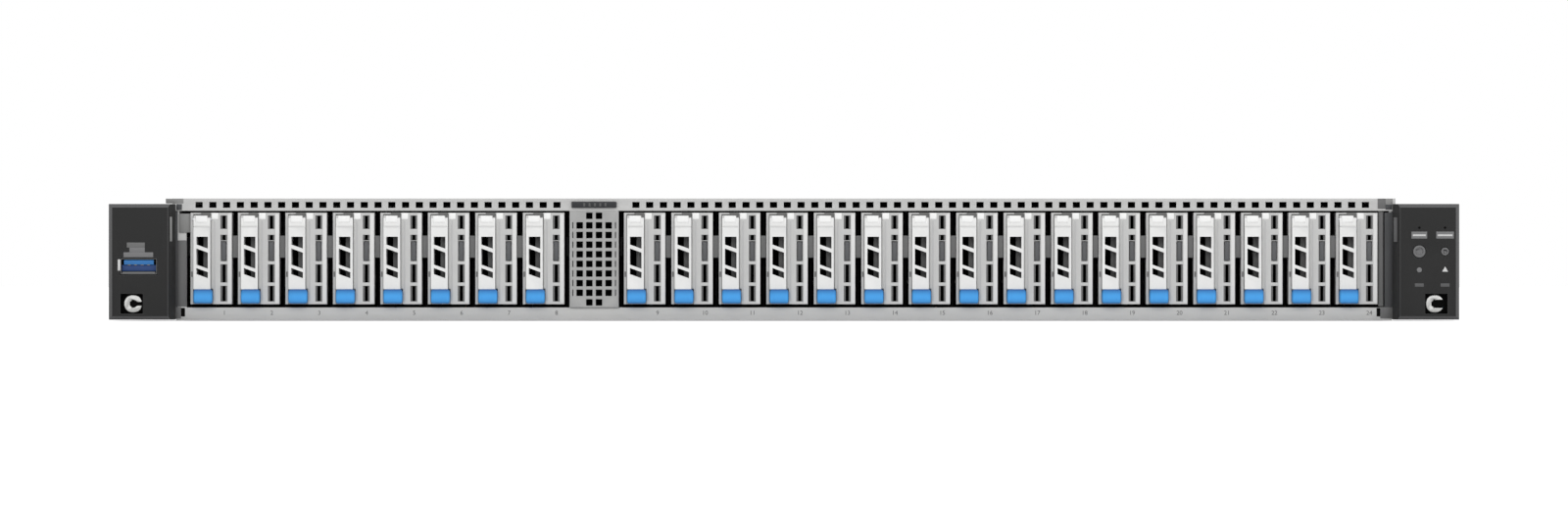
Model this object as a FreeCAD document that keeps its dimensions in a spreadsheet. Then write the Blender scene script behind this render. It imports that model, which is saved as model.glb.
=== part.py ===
import FreeCAD, Part
import math
import os

from FreeCAD import Placement, Rotation, Vector

"""A one-unit rack server with twenty-four front drives, built as separate pieces.

Axes: X to the right, Y to the rear, Z up. The origin lies on the underside of the
chassis, on the centre line, in the plane of the rack flanges. Millimetres.
"""

# Every driving dimension: alias, value, meaning.
DIMENSIONS = (
    ("rack_width", 482.6, "flange to flange, standard rack"),
    ("rack_hole_span", 465.1, "between the rack screw columns"),
    ("rack_hole_height", 5.9, "rack screw above the underside"),
    ("chassis_width", 438.0, "outside of the covers"),
    ("chassis_height", 43.6, "underside to the top of the covers"),
    ("chassis_depth", 740.0, "front lip to rear panel"),
    ("front_reach", 24.0, "chassis front ahead of the flanges"),
    ("tray_sheet", 1.2, "steel of the tray"),
    ("cover_sheet", 1.0, "steel of the covers"),
    ("cover_gap", 0.2, "cover flange to tray wall"),
    ("lip_height", 4.55, "front lip of the tray"),
    ("strip_height", 4.4, "perforated strip above the drives"),
    ("split_gap", 4.0, "fans to the rear edge of the fixed front cover"),
    ("cover_skirt", 12.0, "how far the cover sides reach down"),
    ("bay_pitch", 17.0, "drive to drive"),
    ("left_block_centre", -145.6, "middle of the eight-bay block"),
    ("right_block_centre", 77.6, "middle of the sixteen-bay block"),
    ("drive_width", 14.8, "carrier width"),
    ("drive_height", 32.8, "carrier height"),
    ("drive_base", 5.7, "underside of the drives"),
    ("drive_front", 24.5, "carrier face ahead of the flanges"),
    ("drive_length", 111.0, "drive case behind its carrier"),
    ("carrier_depth", 10.5, "carrier frame, front to back"),
    ("drive_travel", 125.0, "pull that clears the bay"),
    ("divider_sheet", 0.8, "plates between the bays"),
    ("slide_clearance", 0.3, "running gap of drives, tags and supplies"),
    ("grille_width", 17.6, "grille between the drive blocks"),
    ("grille_pitch", 3.45, "grille hole spacing"),
    ("grille_hole", 2.3, "grille hole width"),
    ("strip_pitch", 4.93, "strip hole spacing"),
    ("strip_hole", 2.6, "strip hole width"),
    ("tag_width", 16.1, "pull-out tag"),
    ("tag_height", 2.2, "pull-out tag"),
    ("tag_length", 62.0, "pull-out tag, front to back"),
    ("ear_reach", 31.0, "ear face ahead of the flanges"),
    ("ear_height", 41.6, "ear covers"),
    ("ear_wall", 1.8, "plastic of the ear covers"),
    ("ear_bevel", 1.3, "edge bevel of the ear covers"),
    ("flange_sheet", 2.0, "rack flanges"),
    ("flange_leg", 62.0, "bracket leg along the chassis side"),
    ("screw_radius", 2.5, "rack screw thread"),
    ("screw_neck", 1.9, "rack screw neck, thinner than its thread"),
    ("screw_head", 3.3, "rack screw head radius"),
    ("screw_reach", 13.5, "rack screw thread behind the flange"),
    ("screw_clearance", 0.3, "rack screw in its holes"),
    ("backplane_gap", 9.0, "drive case to the backplane"),
    ("board_sheet", 1.6, "circuit boards"),
    ("fan_gap", 44.0, "backplane front to the fans"),
    ("fan_size", 40.0, "fan frame, square"),
    ("fan_length", 56.0, "fan frame, front to back"),
    ("fan_pitch", 70.0, "fan to fan"),
    ("fan_bore", 18.6, "air passage radius"),
    ("blade_radius", 18.0, "fan blade tips"),
    ("hub_radius", 8.0, "fan hub"),
    ("board_base", 5.2, "underside of the mainboard"),
    ("board_gap", 22.0, "fans to the mainboard"),
    ("module_height", 31.25, "memory module"),
    ("module_length", 133.35, "memory module"),
    ("module_pitch", 7.4, "memory module spacing"),
    ("socket_centre", 106.0, "heatsink centre from the centre line"),
    ("sink_width", 78.0, "heatsink width"),
    ("sink_length", 100.0, "heatsink length"),
    ("supply_width", 73.5, "power supply"),
    ("supply_height", 39.0, "power supply"),
    ("supply_length", 185.0, "power supply"),
    ("supply_right", 212.0, "right side of the outer supply"),
    ("supply_gap", 2.5, "between the two supplies"),
    ("button_radius", 2.2, "power button"),
    ("mark_radius", 1.4, "identify button"),
    ("button_clearance", 0.25, "buttons in their holes"),
    ("stud_radius", 2.2, "rail stud neck"),
    ("stud_head", 3.6, "rail stud head"),
)

DOC = FreeCAD.newDocument("rack_server")
SHEET = DOC.addObject("Spreadsheet::Sheet", "dims")


class Size:
    """A length that carries its value and the sheet formula it comes from."""

    def __init__(self, value, formula):
        self.value = value
        self.formula = formula

    @staticmethod
    def of(thing):
        if isinstance(thing, Size):
            return thing
        return Size(float(thing), f"({float(thing)!r})")

    def combine(self, other, sign, value):
        return Size(value, f"({self.formula} {sign} {other.formula})")

    def __add__(self, other):
        other = Size.of(other)
        return self.combine(other, "+", self.value + other.value)

    def __sub__(self, other):
        other = Size.of(other)
        return self.combine(other, "-", self.value - other.value)

    def __mul__(self, other):
        other = Size.of(other)
        return self.combine(other, "*", self.value * other.value)

    def __truediv__(self, other):
        other = Size.of(other)
        return self.combine(other, "/", self.value / other.value)

    def __neg__(self):
        return Size.of(0) - self

    def __radd__(self, other):
        return Size.of(other) + self

    def __rsub__(self, other):
        return Size.of(other) - self

    __rmul__ = __mul__


class Dimensions:
    """The spreadsheet's cells, by name."""

    def __init__(self, rows):
        for row, (alias, value, meaning) in enumerate(rows, start=1):
            SHEET.set(f"A{row}", meaning)
            SHEET.set(f"B{row}", str(value))
            SHEET.setAlias(f"B{row}", alias)
            setattr(self, alias, Size(value, f"dims.{alias}"))


D = Dimensions(DIMENSIONS)
DOC.recompute()

# Lines that several pieces share.
FRONT = -D.front_reach
REAR = D.chassis_depth - D.front_reach
HALF = D.chassis_width / 2
TRAY_HALF = HALF - D.cover_sheet - D.cover_gap
COVER_TOP = D.chassis_height
TRAY_TOP = COVER_TOP - D.cover_sheet
STRIP_BASE = COVER_TOP - D.strip_height
DRIVE_TOP = D.drive_base + D.drive_height
DRIVE_FACE = -D.drive_front
CASE_FRONT = DRIVE_FACE + D.carrier_depth
CASE_REAR = CASE_FRONT + D.drive_length
BACKPLANE_FRONT = CASE_REAR + D.backplane_gap
FAN_FRONT = BACKPLANE_FRONT + D.fan_gap
FAN_REAR = FAN_FRONT + D.fan_length
COVER_SPLIT = FAN_REAR + D.split_gap
BOARD_FRONT = FAN_REAR + D.board_gap
BOARD_TOP = D.board_base + D.board_sheet
SUPPLY_LEFT = D.supply_right - D.supply_width * 2 - D.supply_gap
SUPPLY_FRONT = REAR - D.supply_length
EAR_FRONT = -D.ear_reach
EAR_SIDE = D.rack_width / 2
SCREW_X = D.rack_hole_span / 2
BLOCK_GAP_CENTRE = (D.left_block_centre + D.bay_pitch * 4 + D.right_block_centre - D.bay_pitch * 8) / 2
BAYS = (
    [D.left_block_centre + D.bay_pitch * (bay - 3.5) for bay in range(8)]
    + [D.right_block_centre + D.bay_pitch * (bay - 7.5) for bay in range(16)]
)

NODES = []


def node(thing, name):
    """Mark an object as a piece of its own, with the name it is kept under."""
    thing.Label = name
    NODES.append(thing)
    return thing


def bind(thing, prop, size):
    thing.setExpression(prop, Size.of(size).formula)


def place(thing, x=0, y=0, z=0):
    """Tie the three coordinates of an object's position to the sheet."""
    bind(thing, "Placement.Base.x", x)
    bind(thing, "Placement.Base.y", y)
    bind(thing, "Placement.Base.z", z)
    return thing


def box(name, x, y, z):
    """A block between a low and a high value on each axis."""
    block = DOC.addObject("Part::Box", name)
    bind(block, "Length", Size.of(x[1]) - x[0])
    bind(block, "Width", Size.of(y[1]) - y[0])
    bind(block, "Height", Size.of(z[1]) - z[0])
    return place(block, x[0], y[0], z[0])


TURNS = {
    "x": Rotation(Vector(0, 1, 0), 90),
    "y": Rotation(Vector(1, 0, 0), -90),
    "z": Rotation(),
}


def rod(name, axis, centre, radius, length):
    """A cylinder that starts at centre and runs along the positive axis."""
    cylinder = DOC.addObject("Part::Cylinder", name)
    bind(cylinder, "Radius", radius)
    bind(cylinder, "Height", length)
    cylinder.Placement = Placement(Vector(), TURNS[axis])
    return place(cylinder, *centre)


def fuse(name, things):
    joined = DOC.addObject("Part::MultiFuse", name)
    joined.Shapes = list(things)
    return joined


def cut(name, base, tools):
    tools = list(tools)
    tool = tools[0] if len(tools) == 1 else group(f"{name}_tools", tools)
    rest = DOC.addObject("Part::Cut", name)
    rest.Base = base
    rest.Tool = tool
    return rest


def group(name, things):
    """Separate solids kept together in one object."""
    bundle = DOC.addObject("Part::Compound", name)
    bundle.Links = list(things)
    return bundle


def mirrored(name, thing):
    """The same piece on the other side of the centre line."""
    twin = DOC.addObject("Part::Mirroring", name)
    twin.Source = thing
    twin.Normal = Vector(1, 0, 0)
    return twin


def origin_feature(body, role):
    return next(item for item in body.Origin.OriginFeatures if item.Role == role)


# Plane name, sign of its normal along the remaining axis.
PLANES = {"xy": ("XY_Plane", 1), "xz": ("XZ_Plane", -1), "yz": ("YZ_Plane", 1)}


def sketch_on(body, name, plane, level):
    """A sketch parallel to one of the body's own planes, at a level on the third axis."""
    role, sign = PLANES[plane]
    sketch = body.newObject("Sketcher::SketchObject", name)
    sketch.AttachmentSupport = [(origin_feature(body, role), "")]
    sketch.MapMode = "FlatFace"
    bind(sketch, "AttachmentOffset.Base.z", Size.of(level) * sign)
    return sketch


def outline(sketch, corners):
    """A closed polygon whose corners are all tied to the sheet."""
    import Sketcher

    corners = [(Size.of(x), Size.of(y)) for x, y in corners]
    first = sketch.GeometryCount
    count = len(corners)
    for index in range(count):
        start = Vector(corners[index][0].value, corners[index][1].value, 0)
        end = Vector(corners[(index + 1) % count][0].value, corners[(index + 1) % count][1].value, 0)
        sketch.addGeometry(Part.LineSegment(start, end), False)
    links = [
        Sketcher.Constraint("Coincident", first + index, 2, first + (index + 1) % count, 1)
        for index in range(count)
    ]
    sketch.addConstraint(links)
    for index, (x, y) in enumerate(corners):
        for kind, size in (("DistanceX", x), ("DistanceY", y)):
            which = sketch.addConstraint(Sketcher.Constraint(kind, -1, 1, first + index, 1, size.value))
            sketch.setExpression(f"Constraints[{which}]", size.formula)


def circle(sketch, x, y, radius):
    """A circle tied to the sheet."""
    import Sketcher

    x, y, radius = Size.of(x), Size.of(y), Size.of(radius)
    ring = sketch.addGeometry(Part.Circle(Vector(x.value, y.value, 0), Vector(0, 0, 1), radius.value), False)
    for constraint, size in (
        (Sketcher.Constraint("DistanceX", -1, 1, ring, 3, x.value), x),
        (Sketcher.Constraint("DistanceY", -1, 1, ring, 3, y.value), y),
        (Sketcher.Constraint("Radius", ring, radius.value), radius),
    ):
        which = sketch.addConstraint(constraint)
        sketch.setExpression(f"Constraints[{which}]", size.formula)


def rectangle(x, y):
    return [(x[0], y[0]), (x[1], y[0]), (x[1], y[1]), (x[0], y[1])]


def polygon(x, y, radius, sides):
    """Corners of a regular shape around a centre."""
    turns = [2 * math.pi * corner / sides for corner in range(sides)]
    return [(x + radius * math.cos(turn), y + radius * math.sin(turn)) for turn in turns]


def pad(body, name, plane, outlines, low, high):
    """Material between two levels along the plane's own axis."""
    sketch = sketch_on(body, f"{name}_sketch", plane, low)
    for corners in outlines:
        outline(sketch, corners)
    feature = body.newObject("PartDesign::Pad", name)
    feature.Profile = sketch
    feature.Reversed = PLANES[plane][1] < 0
    bind(feature, "Length", Size.of(high) - low)
    return feature


def pocket(body, name, plane, outlines, low, high, circles=()):
    """Material taken away between two levels along the plane's own axis."""
    sketch = sketch_on(body, f"{name}_sketch", plane, low)
    for corners in outlines:
        outline(sketch, corners)
    for centre_x, centre_y, radius in circles:
        circle(sketch, centre_x, centre_y, radius)
    feature = body.newObject("PartDesign::Pocket", name)
    feature.Profile = sketch
    feature.Reversed = PLANES[plane][1] > 0
    bind(feature, "Length", Size.of(high) - low)
    return feature


def repeat(body, name, feature, axis, pitch, count):
    """The feature repeated along one of the body's axes."""
    pattern = body.newObject("PartDesign::LinearPattern", name)
    pattern.Originals = [feature]
    pattern.Direction = (origin_feature(body, f"{axis.upper()}_Axis"), [""])
    pattern.Occurrences = count
    bind(pattern, "Length", pitch * (count - 1))
    body.Tip = pattern
    return pattern


def new_body(name):
    return DOC.addObject("PartDesign::Body", name)


def plate(name, plane, corners, low, high):
    """A body with one padded outline."""
    body = new_body(name)
    pad(body, f"{name}_pad", plane, [corners], low, high)
    return body


# ---------------------------------------------------------------- chassis


def make_tray():
    """Bottom, side walls with inward rims, front lip and the rail studs."""
    rim = 7.0
    inner = TRAY_HALF - D.tray_sheet
    section = [
        (-TRAY_HALF, 0), (TRAY_HALF, 0), (TRAY_HALF, TRAY_TOP), (TRAY_HALF - rim, TRAY_TOP),
        (TRAY_HALF - rim, TRAY_TOP - D.tray_sheet), (inner, TRAY_TOP - D.tray_sheet),
        (inner, D.tray_sheet), (-inner, D.tray_sheet), (-inner, TRAY_TOP - D.tray_sheet),
        (rim - TRAY_HALF, TRAY_TOP - D.tray_sheet), (rim - TRAY_HALF, TRAY_TOP), (-TRAY_HALF, TRAY_TOP),
    ]
    tray = new_body("tray_shell")
    pad(tray, "tray_section", "xz", [section], FRONT + D.cover_sheet, REAR)
    lip = [rectangle((-inner, inner), (D.tray_sheet, D.lip_height))]
    pad(tray, "tray_lip", "xz", lip, FRONT + D.cover_sheet, FRONT + D.cover_sheet + D.tray_sheet)
    flange = [rectangle((-inner, 2.6 - inner), (D.lip_height, STRIP_BASE - 1))]
    pad(tray, "tray_side_flange", "xz", flange, FRONT + D.cover_sheet, FRONT + D.cover_sheet + D.tray_sheet)
    partition = [rectangle((SUPPLY_LEFT - 2.4, SUPPLY_LEFT - 1.2), (D.tray_sheet, TRAY_TOP - 1))]
    pad(tray, "supply_partition", "xz", partition, REAR - D.supply_length - 6, REAR - 8)
    studs = []
    neck_base = TRAY_HALF - 0.4
    neck_end = neck_base + 4.6
    height = COVER_TOP / 2
    for row, fraction in enumerate((0.14, 0.52, 0.9)):
        level = FRONT + D.chassis_depth * fraction
        neck = polygon(level, height, D.stud_radius, 8)
        head = polygon(level, height, D.stud_head, 16)
        for side, label in ((1, "right"), (-1, "left")):
            for piece, corners, low, high in (
                ("neck", neck, neck_base, neck_end), ("head", head, neck_end, neck_end + 1.4),
            ):
                span = (low, high) if side > 0 else (-high, -low)
                studs.append(plate(f"stud_{piece}_{label}_{row}", "yz", corners, *span))
    node(fuse("tray_with_studs", [tray] + studs), "chassis_tray")


def make_bay_dividers():
    """Upright plates between the bays, each with a guide tab that reaches forward."""
    low = D.tray_sheet
    high = STRIP_BASE - 0.2
    rear = CASE_REAR - 1
    front = FRONT + 8
    tab_front = FRONT + 2.2
    profile = [
        (rear, low), (rear, high), (front, high), (front, D.drive_base + 24.6),
        (tab_front, D.drive_base + 24.0), (tab_front, D.drive_base + 17.3),
        (front, D.drive_base + 16.7), (front, low),
    ]
    plates = []
    edges = [bay - D.bay_pitch / 2 for bay in BAYS]
    edges.insert(8, BAYS[7] + D.bay_pitch / 2)
    edges.append(BAYS[-1] + D.bay_pitch / 2)
    for number, centre in enumerate(edges):
        half = D.divider_sheet / 2
        plates.append(plate(f"divider_{number}", "yz", profile, centre - half, centre + half))
    node(group("divider_set", plates), "bay_dividers")


def make_front_grille():
    """Bent sheet with square holes between the two drive blocks."""
    half = D.grille_width / 2
    low = D.lip_height
    high = STRIP_BASE
    body = new_body("grille_body")
    plan = [
        (BLOCK_GAP_CENTRE - half, FRONT), (BLOCK_GAP_CENTRE + half, FRONT),
        (BLOCK_GAP_CENTRE + half, FRONT + 14), (BLOCK_GAP_CENTRE + half - 1, FRONT + 14),
        (BLOCK_GAP_CENTRE + half - 1, FRONT + 1), (BLOCK_GAP_CENTRE - half + 1, FRONT + 1),
        (BLOCK_GAP_CENTRE - half + 1, FRONT + 14), (BLOCK_GAP_CENTRE - half, FRONT + 14),
    ]
    pad(body, "grille_sheet", "xy", [plan], low, high)
    hole = D.grille_hole / 2
    first_row = (low + high) / 2 - D.grille_pitch * 4.5
    for column in range(4):
        middle = BLOCK_GAP_CENTRE + D.grille_pitch * (column - 1.5)
        inner = column in (1, 2)
        start = first_row if inner else first_row + D.grille_pitch
        rows = 10 if inner else 8
        square = rectangle((middle - hole, middle + hole), (start - hole, start + hole))
        window = pocket(body, f"grille_hole_{column}", "xz", [square], FRONT, FRONT + 1)
        repeat(body, f"grille_column_{column}", window, "z", D.grille_pitch, rows)
    edge = half - 1
    for side, label in ((-1, "left"), (1, "right")):
        outer = BLOCK_GAP_CENTRE + edge * side
        inner_edge = BLOCK_GAP_CENTRE + (D.grille_pitch * 2.5 - hole) * side
        span = (outer, inner_edge) if side < 0 else (inner_edge, outer)
        start = first_row + D.grille_pitch
        notch = rectangle(span, (start - hole, start + hole))
        window = pocket(body, f"grille_notch_{label}", "xz", [notch], FRONT, FRONT + 1)
        repeat(body, f"grille_notches_{label}", window, "z", D.grille_pitch, 8)
    node(body, "front_grille")


def make_front_cover():
    """Fixed lid over the bays, with the perforated strip and side skirts."""
    body = new_body("front_cover_body")
    skirt = COVER_TOP - D.cover_skirt
    inner = HALF - D.cover_sheet
    section = [
        (-HALF, skirt), (-inner, skirt), (-inner, TRAY_TOP), (inner, TRAY_TOP),
        (inner, skirt), (HALF, skirt), (HALF, COVER_TOP), (-HALF, COVER_TOP),
    ]
    pad(body, "front_cover_section", "xz", [section], FRONT, COVER_SPLIT)
    strip = [rectangle((-inner, inner), (STRIP_BASE, TRAY_TOP))]
    pad(body, "front_strip", "xz", strip, FRONT, FRONT + D.cover_sheet)
    half = D.strip_hole / 2
    middle = STRIP_BASE + D.strip_height * 0.49
    low = middle - 1.1
    high = middle + 1.0
    for label, start, count in (
        ("left", D.left_block_centre - D.strip_pitch * 13 + 0.2, 27),
        ("right", D.right_block_centre - D.strip_pitch * 26.5, 54),
    ):
        square = rectangle((start - half, start + half), (low, high))
        window = pocket(body, f"strip_hole_{label}", "xz", [square], FRONT, FRONT + D.cover_sheet)
        repeat(body, f"strip_holes_{label}", window, "x", D.strip_pitch, count)
    tag_half = D.tag_width / 2 - 1
    slot = rectangle(
        (BLOCK_GAP_CENTRE - tag_half - D.slide_clearance, BLOCK_GAP_CENTRE + tag_half + D.slide_clearance),
        (middle - 0.5 - D.slide_clearance, middle + 0.5 + D.slide_clearance),
    )
    pocket(body, "tag_slot", "xz", [slot], FRONT, FRONT + D.cover_sheet)
    node(body, "front_cover")


def make_info_tag():
    """Pull-out card with a thicker grip at its front."""
    middle = STRIP_BASE + D.strip_height * 0.49
    half = D.tag_width / 2
    grip = box(
        "tag_grip",
        (BLOCK_GAP_CENTRE - half, BLOCK_GAP_CENTRE + half),
        (FRONT - 1.2, FRONT),
        (middle - D.tag_height / 2, middle + D.tag_height / 2),
    )
    card = box(
        "tag_card",
        (BLOCK_GAP_CENTRE - half + 1, BLOCK_GAP_CENTRE + half - 1),
        (FRONT, FRONT + D.tag_length),
        (middle - 0.5, middle + 0.5),
    )
    node(fuse("tag_body", [grip, card]), "info_tag")


# ---------------------------------------------------------------- drives

LEVER_LEFT = -6.25
LEVER_RIGHT = -0.25
TAB_RIGHT = 0.5
HINGE_DROP = 2.4
LEVER_BACK = 1.9
LEVER_PROUD = 1.5
TAB_HEIGHT = 5.4


def drive_masters():
    """The pieces of one drive, centred on x = 0; each bay uses the same set."""
    half = D.drive_width / 2
    carrier = new_body("carrier")
    block = rectangle((-half, half), (D.drive_base, DRIVE_TOP))
    pad(carrier, "carrier_block", "xz", [block], DRIVE_FACE, CASE_FRONT)
    seat_left = LEVER_LEFT - 0.2
    seat = [
        (seat_left, D.drive_base), (TAB_RIGHT + 0.2, D.drive_base),
        (TAB_RIGHT + 0.2, D.drive_base + TAB_HEIGHT + 0.2), (LEVER_RIGHT + 0.2, D.drive_base + TAB_HEIGHT + 0.2),
        (LEVER_RIGHT + 0.2, DRIVE_TOP - 0.5), (seat_left, DRIVE_TOP - 0.5),
    ]
    pocket(carrier, "lever_seat", "xz", [seat], DRIVE_FACE, DRIVE_FACE + 2.6)
    slots = [
        rectangle((3.3, 5.7), (DRIVE_TOP - 5.8, DRIVE_TOP - 1)),
        rectangle((3.3, 5.7), (DRIVE_TOP - 9.9, DRIVE_TOP - 7.9)),
        rectangle((3.3, 5.7), (D.drive_base + 7.8, D.drive_base + 14.3)),
        rectangle((3.3, 5.7), (D.drive_base + 1, D.drive_base + 6.6)),
        rectangle((-5.2, -1.2), (D.drive_base + 9.3, D.drive_base + 24.3)),
    ]
    pocket(carrier, "vent_slots", "xz", slots, DRIVE_FACE, CASE_FRONT)

    side = half - 0.1
    rim = side - 1.0
    section = [
        (-side, D.drive_base), (rim, D.drive_base), (rim, D.drive_base + 3), (side, D.drive_base + 3),
        (side, DRIVE_TOP - 3), (rim, DRIVE_TOP - 3), (rim, DRIVE_TOP), (-side, DRIVE_TOP),
    ]
    case = plate("drive_case", "xz", section, CASE_FRONT, CASE_REAR)
    edge = box("card_edge", (-0.8, 0.8), (CASE_REAR, CASE_REAR + 6), (D.drive_base + 4.5, DRIVE_TOP - 5))
    return carrier, case, edge


def lever_masters():
    """The white lever, its pin and the release tab below it."""
    top = DRIVE_TOP - HINGE_DROP
    low = D.drive_base + TAB_HEIGHT
    front = DRIVE_FACE - LEVER_PROUD
    back = DRIVE_FACE + LEVER_BACK
    profile = [
        (front, low), (back, low), (back, top - 1.1), (back - 0.3, top + 0.7), (back - 1.1, top + 1.5),
        (back - 2.3, top + 1.5), (back - 3.0, top + 0.5), (front + 0.4, top - 2.5), (front, top - 2.7),
    ]
    lever = plate("lever_plain", "yz", profile, LEVER_LEFT, LEVER_RIGHT)
    windows = [
        [(-5.0, low + 4.0), (-1.4, low + 4.0), (-1.4, low + 7.6), (-5.0, low + 6.4)],
        [(-5.0, low + 8.2), (-1.4, low + 9.4), (-1.4, low + 14.0), (-5.0, low + 12.8)],
        [(-5.0, low + 14.6), (-1.4, low + 15.8), (-1.4, low + 18.8), (-5.0, low + 18.8)],
    ]
    pocket(lever, "lever_windows", "xz", windows, front, back)
    tab_front = front - 1
    tab_profile = [
        (tab_front + 0.4, D.drive_base + 0.2), (back, D.drive_base + 0.2), (back, low),
        (front, low), (tab_front, low - 1), (tab_front, D.drive_base + 0.7),
    ]
    tab = plate("release_tab", "yz", tab_profile, LEVER_LEFT, TAB_RIGHT)
    return lever, tab


def make_drives():
    """Twenty-four drives; the outermost two have their lever as a piece of its own."""
    carrier, case, edge = drive_masters()
    lever, tab = lever_masters()
    pin_centre = (LEVER_LEFT - 0.6, DRIVE_FACE + 0.2, DRIVE_TOP - HINGE_DROP)
    pin = rod("lever_pin", "x", pin_centre, 0.6, LEVER_RIGHT - LEVER_LEFT + 1.2)
    bore = rod("lever_bore", "x", pin_centre, 0.65, LEVER_RIGHT - LEVER_LEFT + 1.2)
    hinged_lever = cut("lever_hinged", lever, [bore])
    pinned_carrier = fuse("carrier_pinned", [carrier, pin])
    for number, centre in enumerate(BAYS, start=1):
        name = f"drive_{number:02d}"
        if number in (1, len(BAYS)):
            drive = group(f"{name}_set", [pinned_carrier, case, edge])
            handle = group(f"{name}_lever_set", [hinged_lever, tab])
            node(place(handle, centre), f"{name}_lever")
        else:
            drive = group(f"{name}_set", [carrier, case, edge, lever, tab])
        node(place(drive, centre), name)


# ---------------------------------------------------------------- ears


def ear_outline(inner_front, inner_back):
    """Plan of an ear cover on the left side, with its bevelled front corners."""
    side = -EAR_SIDE
    return [
        (side, 0), (side, EAR_FRONT + D.ear_bevel), (side + D.ear_bevel, EAR_FRONT),
        (inner_front - 2.2, EAR_FRONT), (inner_front, EAR_FRONT + 4.0), (inner_front, FRONT - 0.3),
        (inner_back, FRONT - 0.3), (inner_back, 0),
    ]


def ear_shell(name, inner_front, inner_back):
    """Hollow ear cover, open to the flange behind it."""
    body = new_body(name)
    pad(body, f"{name}_block", "xy", [ear_outline(inner_front, inner_back)], 0.2, D.ear_height)
    wall = D.ear_wall
    hollow = rectangle((wall - EAR_SIDE, inner_back - wall), (0.2 + wall, D.ear_height - wall))
    pocket(body, f"{name}_hollow", "xz", [hollow], EAR_FRONT + wall, 0)
    for label, level, step in (("top", D.ear_height, -1), ("bottom", Size.of(0.2), 1)):
        bevel = [
            (EAR_FRONT, level), (EAR_FRONT + D.ear_bevel, level), (EAR_FRONT, level + D.ear_bevel * step),
        ]
        pocket(body, f"{name}_{label}_bevel", "yz", [bevel], -EAR_SIDE, inner_front)
    reach = D.screw_head + D.screw_clearance
    well = rectangle(
        (-SCREW_X - reach - 0.9, -SCREW_X + reach),
        (D.rack_hole_height - reach, D.rack_hole_height + reach),
    )
    pocket(body, f"{name}_screw_well", "xz", [well], EAR_FRONT, EAR_FRONT + wall)
    return body


def make_ears():
    """Rack brackets with their plastic covers, left and right."""
    inner_back = -(HALF + 0.3)
    inner_front = Size.of(-217.9)
    port_x = -EAR_SIDE + 10.8
    port_z = Size.of(19.3)

    left = ear_shell("left_ear_body", inner_front, inner_back)
    port = rectangle((port_x - 6.8, port_x + 6.8), (port_z - 3.1, port_z + 3.1))
    pocket(left, "port_window", "xz", [port], EAR_FRONT, EAR_FRONT + D.ear_wall)
    node(left, "left_ear_cover")

    right_left_hand = ear_shell("right_ear_body", inner_front, inner_back)
    right = mirrored("right_ear_mirror", right_left_hand)
    through = EAR_FRONT - 1
    power = rod("power_hole", "y", (POWER_X, through, BUTTON_Z), D.button_radius + D.button_clearance, 4.0)
    mark = rod("mark_hole", "y", (MARK_X, through, BUTTON_Z), D.mark_radius + D.button_clearance, 4.0)
    node(cut("right_ear", right, [power, mark]), "right_ear_cover")

    flange = [
        (-EAR_SIDE, 0), (-EAR_SIDE, D.flange_sheet), (-HALF - 1.4, D.flange_sheet), (-HALF - 1.4, 0),
    ]
    bracket = new_body("left_bracket_body")
    pad(bracket, "flange_plate", "xy", [flange], 0.2, D.ear_height)
    leg = [rectangle((-HALF - 1.4, -HALF), (0, D.flange_leg))]
    pad(bracket, "flange_leg", "xy", leg, 5, COVER_TOP - 8)
    hole_centre = (-SCREW_X, -1, D.rack_hole_height)
    hole = rod("left_screw_hole", "y", hole_centre, D.screw_radius + D.screw_clearance, 4.0)
    left_bracket = cut("left_bracket", bracket, [hole])
    node(left_bracket, "left_rack_bracket")
    node(mirrored("right_bracket", left_bracket), "right_rack_bracket")


POWER_X = EAR_SIDE - 14.4
MARK_X = EAR_SIDE - 5.2
BUTTON_Z = Size.of(24.6)
BUTTON_TRAVEL = 1.2


def make_rack_screws():
    """Captive screws: a slotted head in the ear's well and a thread held behind the flange."""
    for side, label in ((-1, "left"), (1, "right")):
        x = SCREW_X * side
        height = D.rack_hole_height
        head = rod(f"{label}_screw_head", "y", (x, EAR_FRONT + 1.2, height), D.screw_head, 5.0)
        neck_rear = D.flange_sheet + D.screw_clearance
        neck = rod(
            f"{label}_screw_neck", "y", (x, EAR_FRONT + 6.2, height), D.screw_neck, neck_rear - EAR_FRONT - 6.2
        )
        thread = rod(f"{label}_screw_thread", "y", (x, neck_rear, height), D.screw_radius, D.screw_reach)
        slot = box(
            f"{label}_screw_slot", (x - D.screw_head, x + D.screw_head),
            (EAR_FRONT + 1.0, EAR_FRONT + 2.8), (height - 0.5, height + 0.5),
        )
        solid = fuse(f"{label}_screw_solid", [head, neck, thread])
        node(cut(f"{label}_screw", solid, [slot]), f"{label}_rack_screw")


def make_buttons():
    """Stepped caps that are held behind the wall of the right ear."""
    wall_back = EAR_FRONT + D.ear_wall
    for name, x, radius in (("power_button", POWER_X, D.button_radius), ("id_button", MARK_X, D.mark_radius)):
        cap = rod(f"{name}_cap", "y", (x, EAR_FRONT - 0.2, BUTTON_Z), radius, D.ear_wall + 0.5)
        rim = polygon(x, BUTTON_Z, radius + 0.8, 12)
        collar = plate(f"{name}_collar", "xz", rim, wall_back + 0.3, wall_back + 1.3)
        node(fuse(f"{name}_solid", [cap, collar]), name)


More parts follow.
